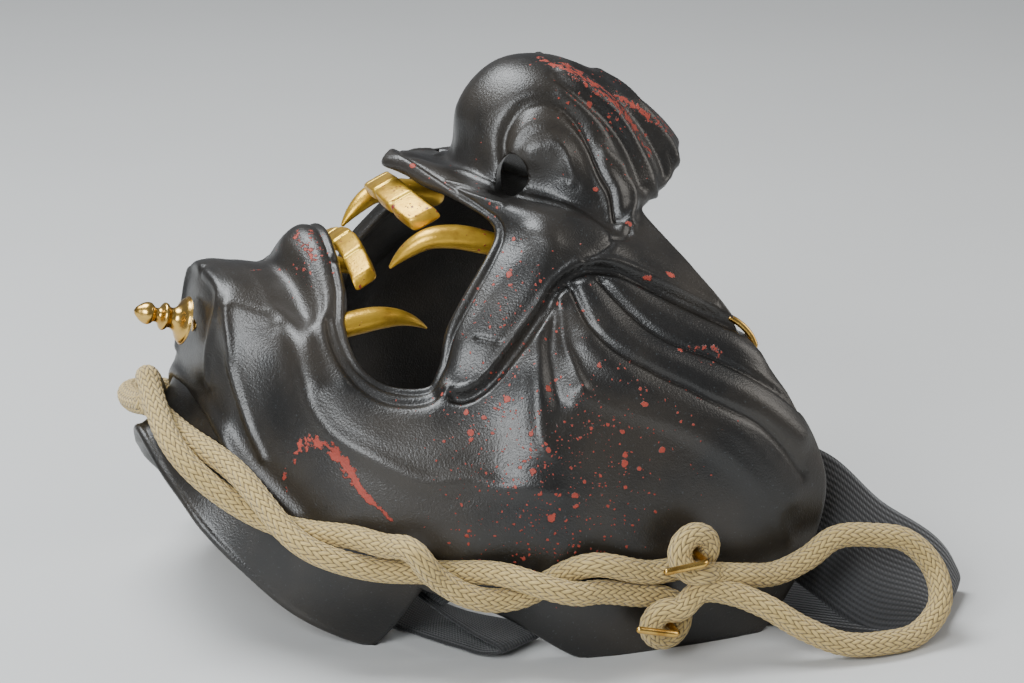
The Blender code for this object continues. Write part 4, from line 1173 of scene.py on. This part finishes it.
def braid_group():
    """The braid's height and fibre shade from UV: x round the cord, y along it in metres."""
    tree, given, result = group_with("braid", [("Place", "NodeSocketVector")],
                                     [("Height", "NodeSocketFloat"), ("Fibre", "NodeSocketFloat")])
    parts = tree.nodes.new("ShaderNodeSeparateXYZ")
    tree.links.new(given.outputs["Place"], parts.inputs[0])
    u = maths(tree, "MULTIPLY", parts.outputs["X"], float(BRAID_STRANDS))
    v = maths(tree, "DIVIDE", parts.outputs["Y"], BRAID_PITCH)
    a, b = maths(tree, "ADD", u, v), maths(tree, "SUBTRACT", u, v)
    whole = maths(tree, "ADD", maths(tree, "FLOOR", a), maths(tree, "FLOOR", b))
    k = maths(tree, "FLOORED_MODULO", whole, 4.0)
    under = maths(tree, "GREATER_THAN", k, 1.5)
    fa, fb = maths(tree, "FLOORED_MODULO", a, 1.0), maths(tree, "FLOORED_MODULO", b, 1.0)
    swap = maths(tree, "SUBTRACT", fb, fa)
    width = maths(tree, "MULTIPLY_ADD", under, swap, fa)
    run = maths(tree, "SUBTRACT", fb, maths(tree, "MULTIPLY", under, swap))
    first = maths(tree, "SUBTRACT", k, maths(tree, "MULTIPLY", under, 2.0))
    run = maths(tree, "MULTIPLY", maths(tree, "ADD", run, first), 0.5)
    bow = maths(tree, "MULTIPLY_ADD", width, 2.0, -1.0)
    bow = maths(tree, "SQRT", maths(tree, "SUBTRACT", 1.0, maths(tree, "MULTIPLY", bow, bow), clamp=True))
    sink = maths(tree, "MULTIPLY_ADD", maths(tree, "SINE", maths(tree, "MULTIPLY", run, math.pi)), 0.55, 0.45)
    tree.links.new(maths(tree, "MULTIPLY", bow, sink), result.inputs["Height"])
    fibre = maths(tree, "SINE", maths(tree, "MULTIPLY", width, 8.0 * math.pi))
    tree.links.new(maths(tree, "MULTIPLY_ADD", fibre, 0.5, 0.5), result.inputs["Fibre"])
    return tree


def cord_material():
    made, tree, shader, place = new_material("tan_cord_skin")
    layer = tree.nodes.new("ShaderNodeUVMap")
    layer.uv_map = "braid"
    braid = use_group(tree, braid_group(), Place=layer.outputs["UV"])
    hue = mixed(tree, noise(tree, place, 420.0, 3.0), CORD_MIDDLE, CORD_LIGHT)
    # Painted shade: the colour falls to the deepest tone where the braid's yarns are low, between and under
    # each other
    shade = maths(tree, "MULTIPLY_ADD", braid["Fibre"], 0.12, braid["Height"])
    tree.links.new(mixed(tree, stepped(tree, shade, 0.20, 0.78), CORD_PAINTED_SHADE, hue), shader.inputs["Base Color"])
    shader.inputs["Roughness"].default_value = 0.78
    shader.inputs["Sheen Weight"].default_value = 0.25
    fuzz = maths(tree, "MULTIPLY_ADD", noise(tree, place, 2600.0, 3.0), 0.22, braid["Height"])
    fuzz = maths(tree, "MULTIPLY_ADD", braid["Fibre"], 0.16, fuzz)
    tree.links.new(bumped(tree, fuzz, 0.0005, 0.9), shader.inputs["Normal"])
    return made


def make_cord():
    control = cord_line()
    length = np.linalg.norm(np.diff(control, axis=0), axis=1).sum()
    line = along(control, int(length / CORD_STEP))
    run = np.concatenate(([0.0], np.cumsum(np.linalg.norm(np.diff(line, axis=0), axis=1))))
    _, across, upward = tube_frames(line)
    share = np.linspace(0.0, 1.0, CORD_SIDES, endpoint=False)
    turn = 2.0 * math.pi * share[None, :, None]
    radius = 0.5 * CORD_DIAMETER + BRAID_RELIEF * (braid_height(share[None], run[:, None]) - 0.75)
    ends = np.minimum(run, run[-1] - run)
    radius = radius * np.sqrt(np.clip(ends / 0.0016 + 0.15, 0.0, 1.0))[:, None]
    ways = np.cos(turn) * across[:, None] + np.sin(turn) * upward[:, None]
    rings = line[:, None] + radius[..., None] * ways + SHIFT
    rings[..., 2] = np.maximum(rings[..., 2], 0.0001)
    body = closed_tube("cord_skin", rings)
    layer = body.data.uv_layers.new(name="braid")
    corner = np.empty(len(body.data.loops), np.int32)
    body.data.loops.foreach_get("vertex_index", corner)
    row, column = np.divmod(corner, CORD_SIDES)
    quads = 4 * CORD_SIDES * (len(line) - 1)
    wraps = np.zeros(len(corner), bool)
    four = column[:quads].reshape(-1, 4)
    wraps[:quads] = ((four == 0) & (four.max(1) == CORD_SIDES - 1)[:, None]).ravel()
    places = np.stack(((column + CORD_SIDES * wraps) / CORD_SIDES, run[row]), 1)
    layer.data.foreach_set("uv", places.astype(np.float32).ravel())
    finish_piece(body, "cord", cord_material())


make_cord()


# Straps
# A wide ribbed elastic that goes round the head and a narrow one under the
# neck, black, sewn to the cheeks; both are folded over on the table.
STRAP_COLUMNS = 26
# node: width, thickness, rings, rib pitch across, weave pitch along, then rows of
# a place in thousandths of the sizes and the way that the band's width points
STRAPS = {
    "head_strap": (0.038, 0.0016, 420, 0.0016, 0.0011, (
        ((290, -812, 225), (0.00, -0.02, 1.0)), ((335, -830, 203), (0.04, 0.06, 1.0)),
        ((378, -857, 171), (0.15, 0.20, 0.97)), ((447, -966, 102), (0.35, 0.60, 0.70)),
        ((545, -1062, 42), (0.60, 0.78, 0.17)), ((556, -1075, 23), (0.61, 0.79, 0.03)),
        ((538, -1050, 11), (0.62, 0.78, 0.0)), ((502, -1000, 9), (0.62, 0.78, 0.0)),
        ((440, -905, 8), (0.62, 0.78, 0.0)), ((366, -780, 8), (0.62, 0.78, 0.0)),
        ((200, -430, 8), (0.80, 0.60, 0.0)), ((110, -40, 8), (1.0, 0.12, 0.0)),
        ((105, 260, 9), (1.0, 0.0, 0.0)), ((115, 480, 16), (1.0, 0.0, 0.02)),
        ((140, 640, 60), (0.93, -0.10, 0.25)), ((190, 730, 140), (0.60, -0.10, 0.75)),
        ((260, 800, 225), (0.0, 0.02, 1.0)))),
    "neck_strap": (0.018, 0.0014, 300, 0.0010, 0.0009, (
        ((-205, -735, 170), (-0.30, 0.10, 0.95)), ((-262, -640, 114), (-0.60, 0.20, 0.77)),
        ((-250, -560, 76), (-0.75, 0.10, 0.65)), ((-215, -640, 54), (-0.84, -0.30, 0.46)),
        ((-165, -770, 36), (-0.84, -0.50, 0.15)), ((-128, -862, 20), (-0.85, -0.50, 0.02)),
        ((-150, -810, 9), (-0.85, -0.50, 0.0)), ((-175, -730, 8), (-0.86, -0.48, 0.0)),
        ((-235, -500, 7), (-0.90, -0.35, 0.0)), ((-262, 0, 7), (-1.0, 0.0, 0.0)),
        ((-248, 250, 7), (-0.96, 0.20, 0.0)), ((-230, 390, 11), (-0.92, 0.35, 0.0)),
        ((-210, 510, 30), (-0.88, 0.40, 0.08)), ((-188, 650, 86), (-0.75, 0.30, 0.55)),
        ((-170, 735, 160), (-0.35, -0.05, 0.94)))),
}
# The darker colour, in the band's grooves, is painted shade
WEBBING_GROOVE_SHADE = (0.006, 0.006, 0.0065)
WEBBING_LIGHT = (0.028, 0.028, 0.030)


def webbing_material(name, rib, weave):
    """Black elastic: ribs along the band and a finer weave across it, from UV in metres; darker in the
    grooves as painted shade, with a random mottle.
    """
    made, tree, shader, place = new_material(name)
    layer = tree.nodes.new("ShaderNodeUVMap")
    layer.uv_map = "band"
    parts = tree.nodes.new("ShaderNodeSeparateXYZ")
    tree.links.new(layer.outputs["UV"], parts.inputs[0])
    ribs = maths(tree, "SINE", maths(tree, "MULTIPLY", parts.outputs["X"], 2.0 * math.pi / rib))
    knots = maths(tree, "SINE", maths(tree, "MULTIPLY", parts.outputs["Y"], 2.0 * math.pi / weave))
    height = maths(tree, "MULTIPLY_ADD", maths(tree, "MULTIPLY", ribs, knots), 0.22,
                   maths(tree, "MULTIPLY_ADD", ribs, 0.35, 0.5))
    height = maths(tree, "MULTIPLY_ADD", noise(tree, place, 2200.0, 3.0), 0.25, height)
    # Painted shade: darker in the grooves of ribs and weave, lighter on their tops, with a random mottle
    tree.links.new(mixed(tree, stepped(tree, height, 0.25, 1.0), WEBBING_GROOVE_SHADE, WEBBING_LIGHT),
                   shader.inputs["Base Color"])
    shader.inputs["Roughness"].default_value = 0.72
    shader.inputs["Sheen Weight"].default_value = 0.2
    tree.links.new(bumped(tree, height, 0.0003, 0.9), shader.inputs["Normal"])
    return made


def band_rings(width, thickness, rings, table):
    """Flat oblong sections with rounded edges along the band's smooth middle line."""
    rows = np.array([(*(np.array(place) * SHARE), *way) for place, way in table])
    line = along(rows, rings)
    centre, across = line[:, :3], unit(line[:, 3:])
    thin = unit(np.cross(unit(np.gradient(centre, axis=0)), across))
    share = np.linspace(-1.0, 1.0, STRAP_COLUMNS)
    bulge = 0.5 * thickness * (1.0 - share**8 * 0.75)
    across_share = np.concatenate((share, share[::-1]))
    up = np.concatenate((bulge, -bulge[::-1]))
    rings = (centre[:, None] + (0.5 * width * across_share)[None, :, None] * across[:, None]
             + up[None, :, None] * thin[:, None])
    return centre, across_share, rings


def make_straps():
    for node, (width, thickness, count, rib, weave, table) in STRAPS.items():
        centre, across, rings = band_rings(width, thickness, count, table)
        rings = rings + SHIFT
        rings[..., 2] = np.maximum(rings[..., 2], 0.0001)
        body = closed_tube(node + "_skin", rings)
        run = np.concatenate(([0.0], np.cumsum(np.linalg.norm(np.diff(centre, axis=0), axis=1))))
        corner = np.empty(len(body.data.loops), np.int32)
        body.data.loops.foreach_get("vertex_index", corner)
        row, column = np.divmod(corner, 2 * STRAP_COLUMNS)
        layer = body.data.uv_layers.new(name="band")
        places = np.stack((0.5 * width * across[column], run[row]), 1)
        layer.data.foreach_set("uv", places.astype(np.float32).ravel())
        finish_piece(body, node, webbing_material(node + "_webbing", rib, weave))


make_straps()
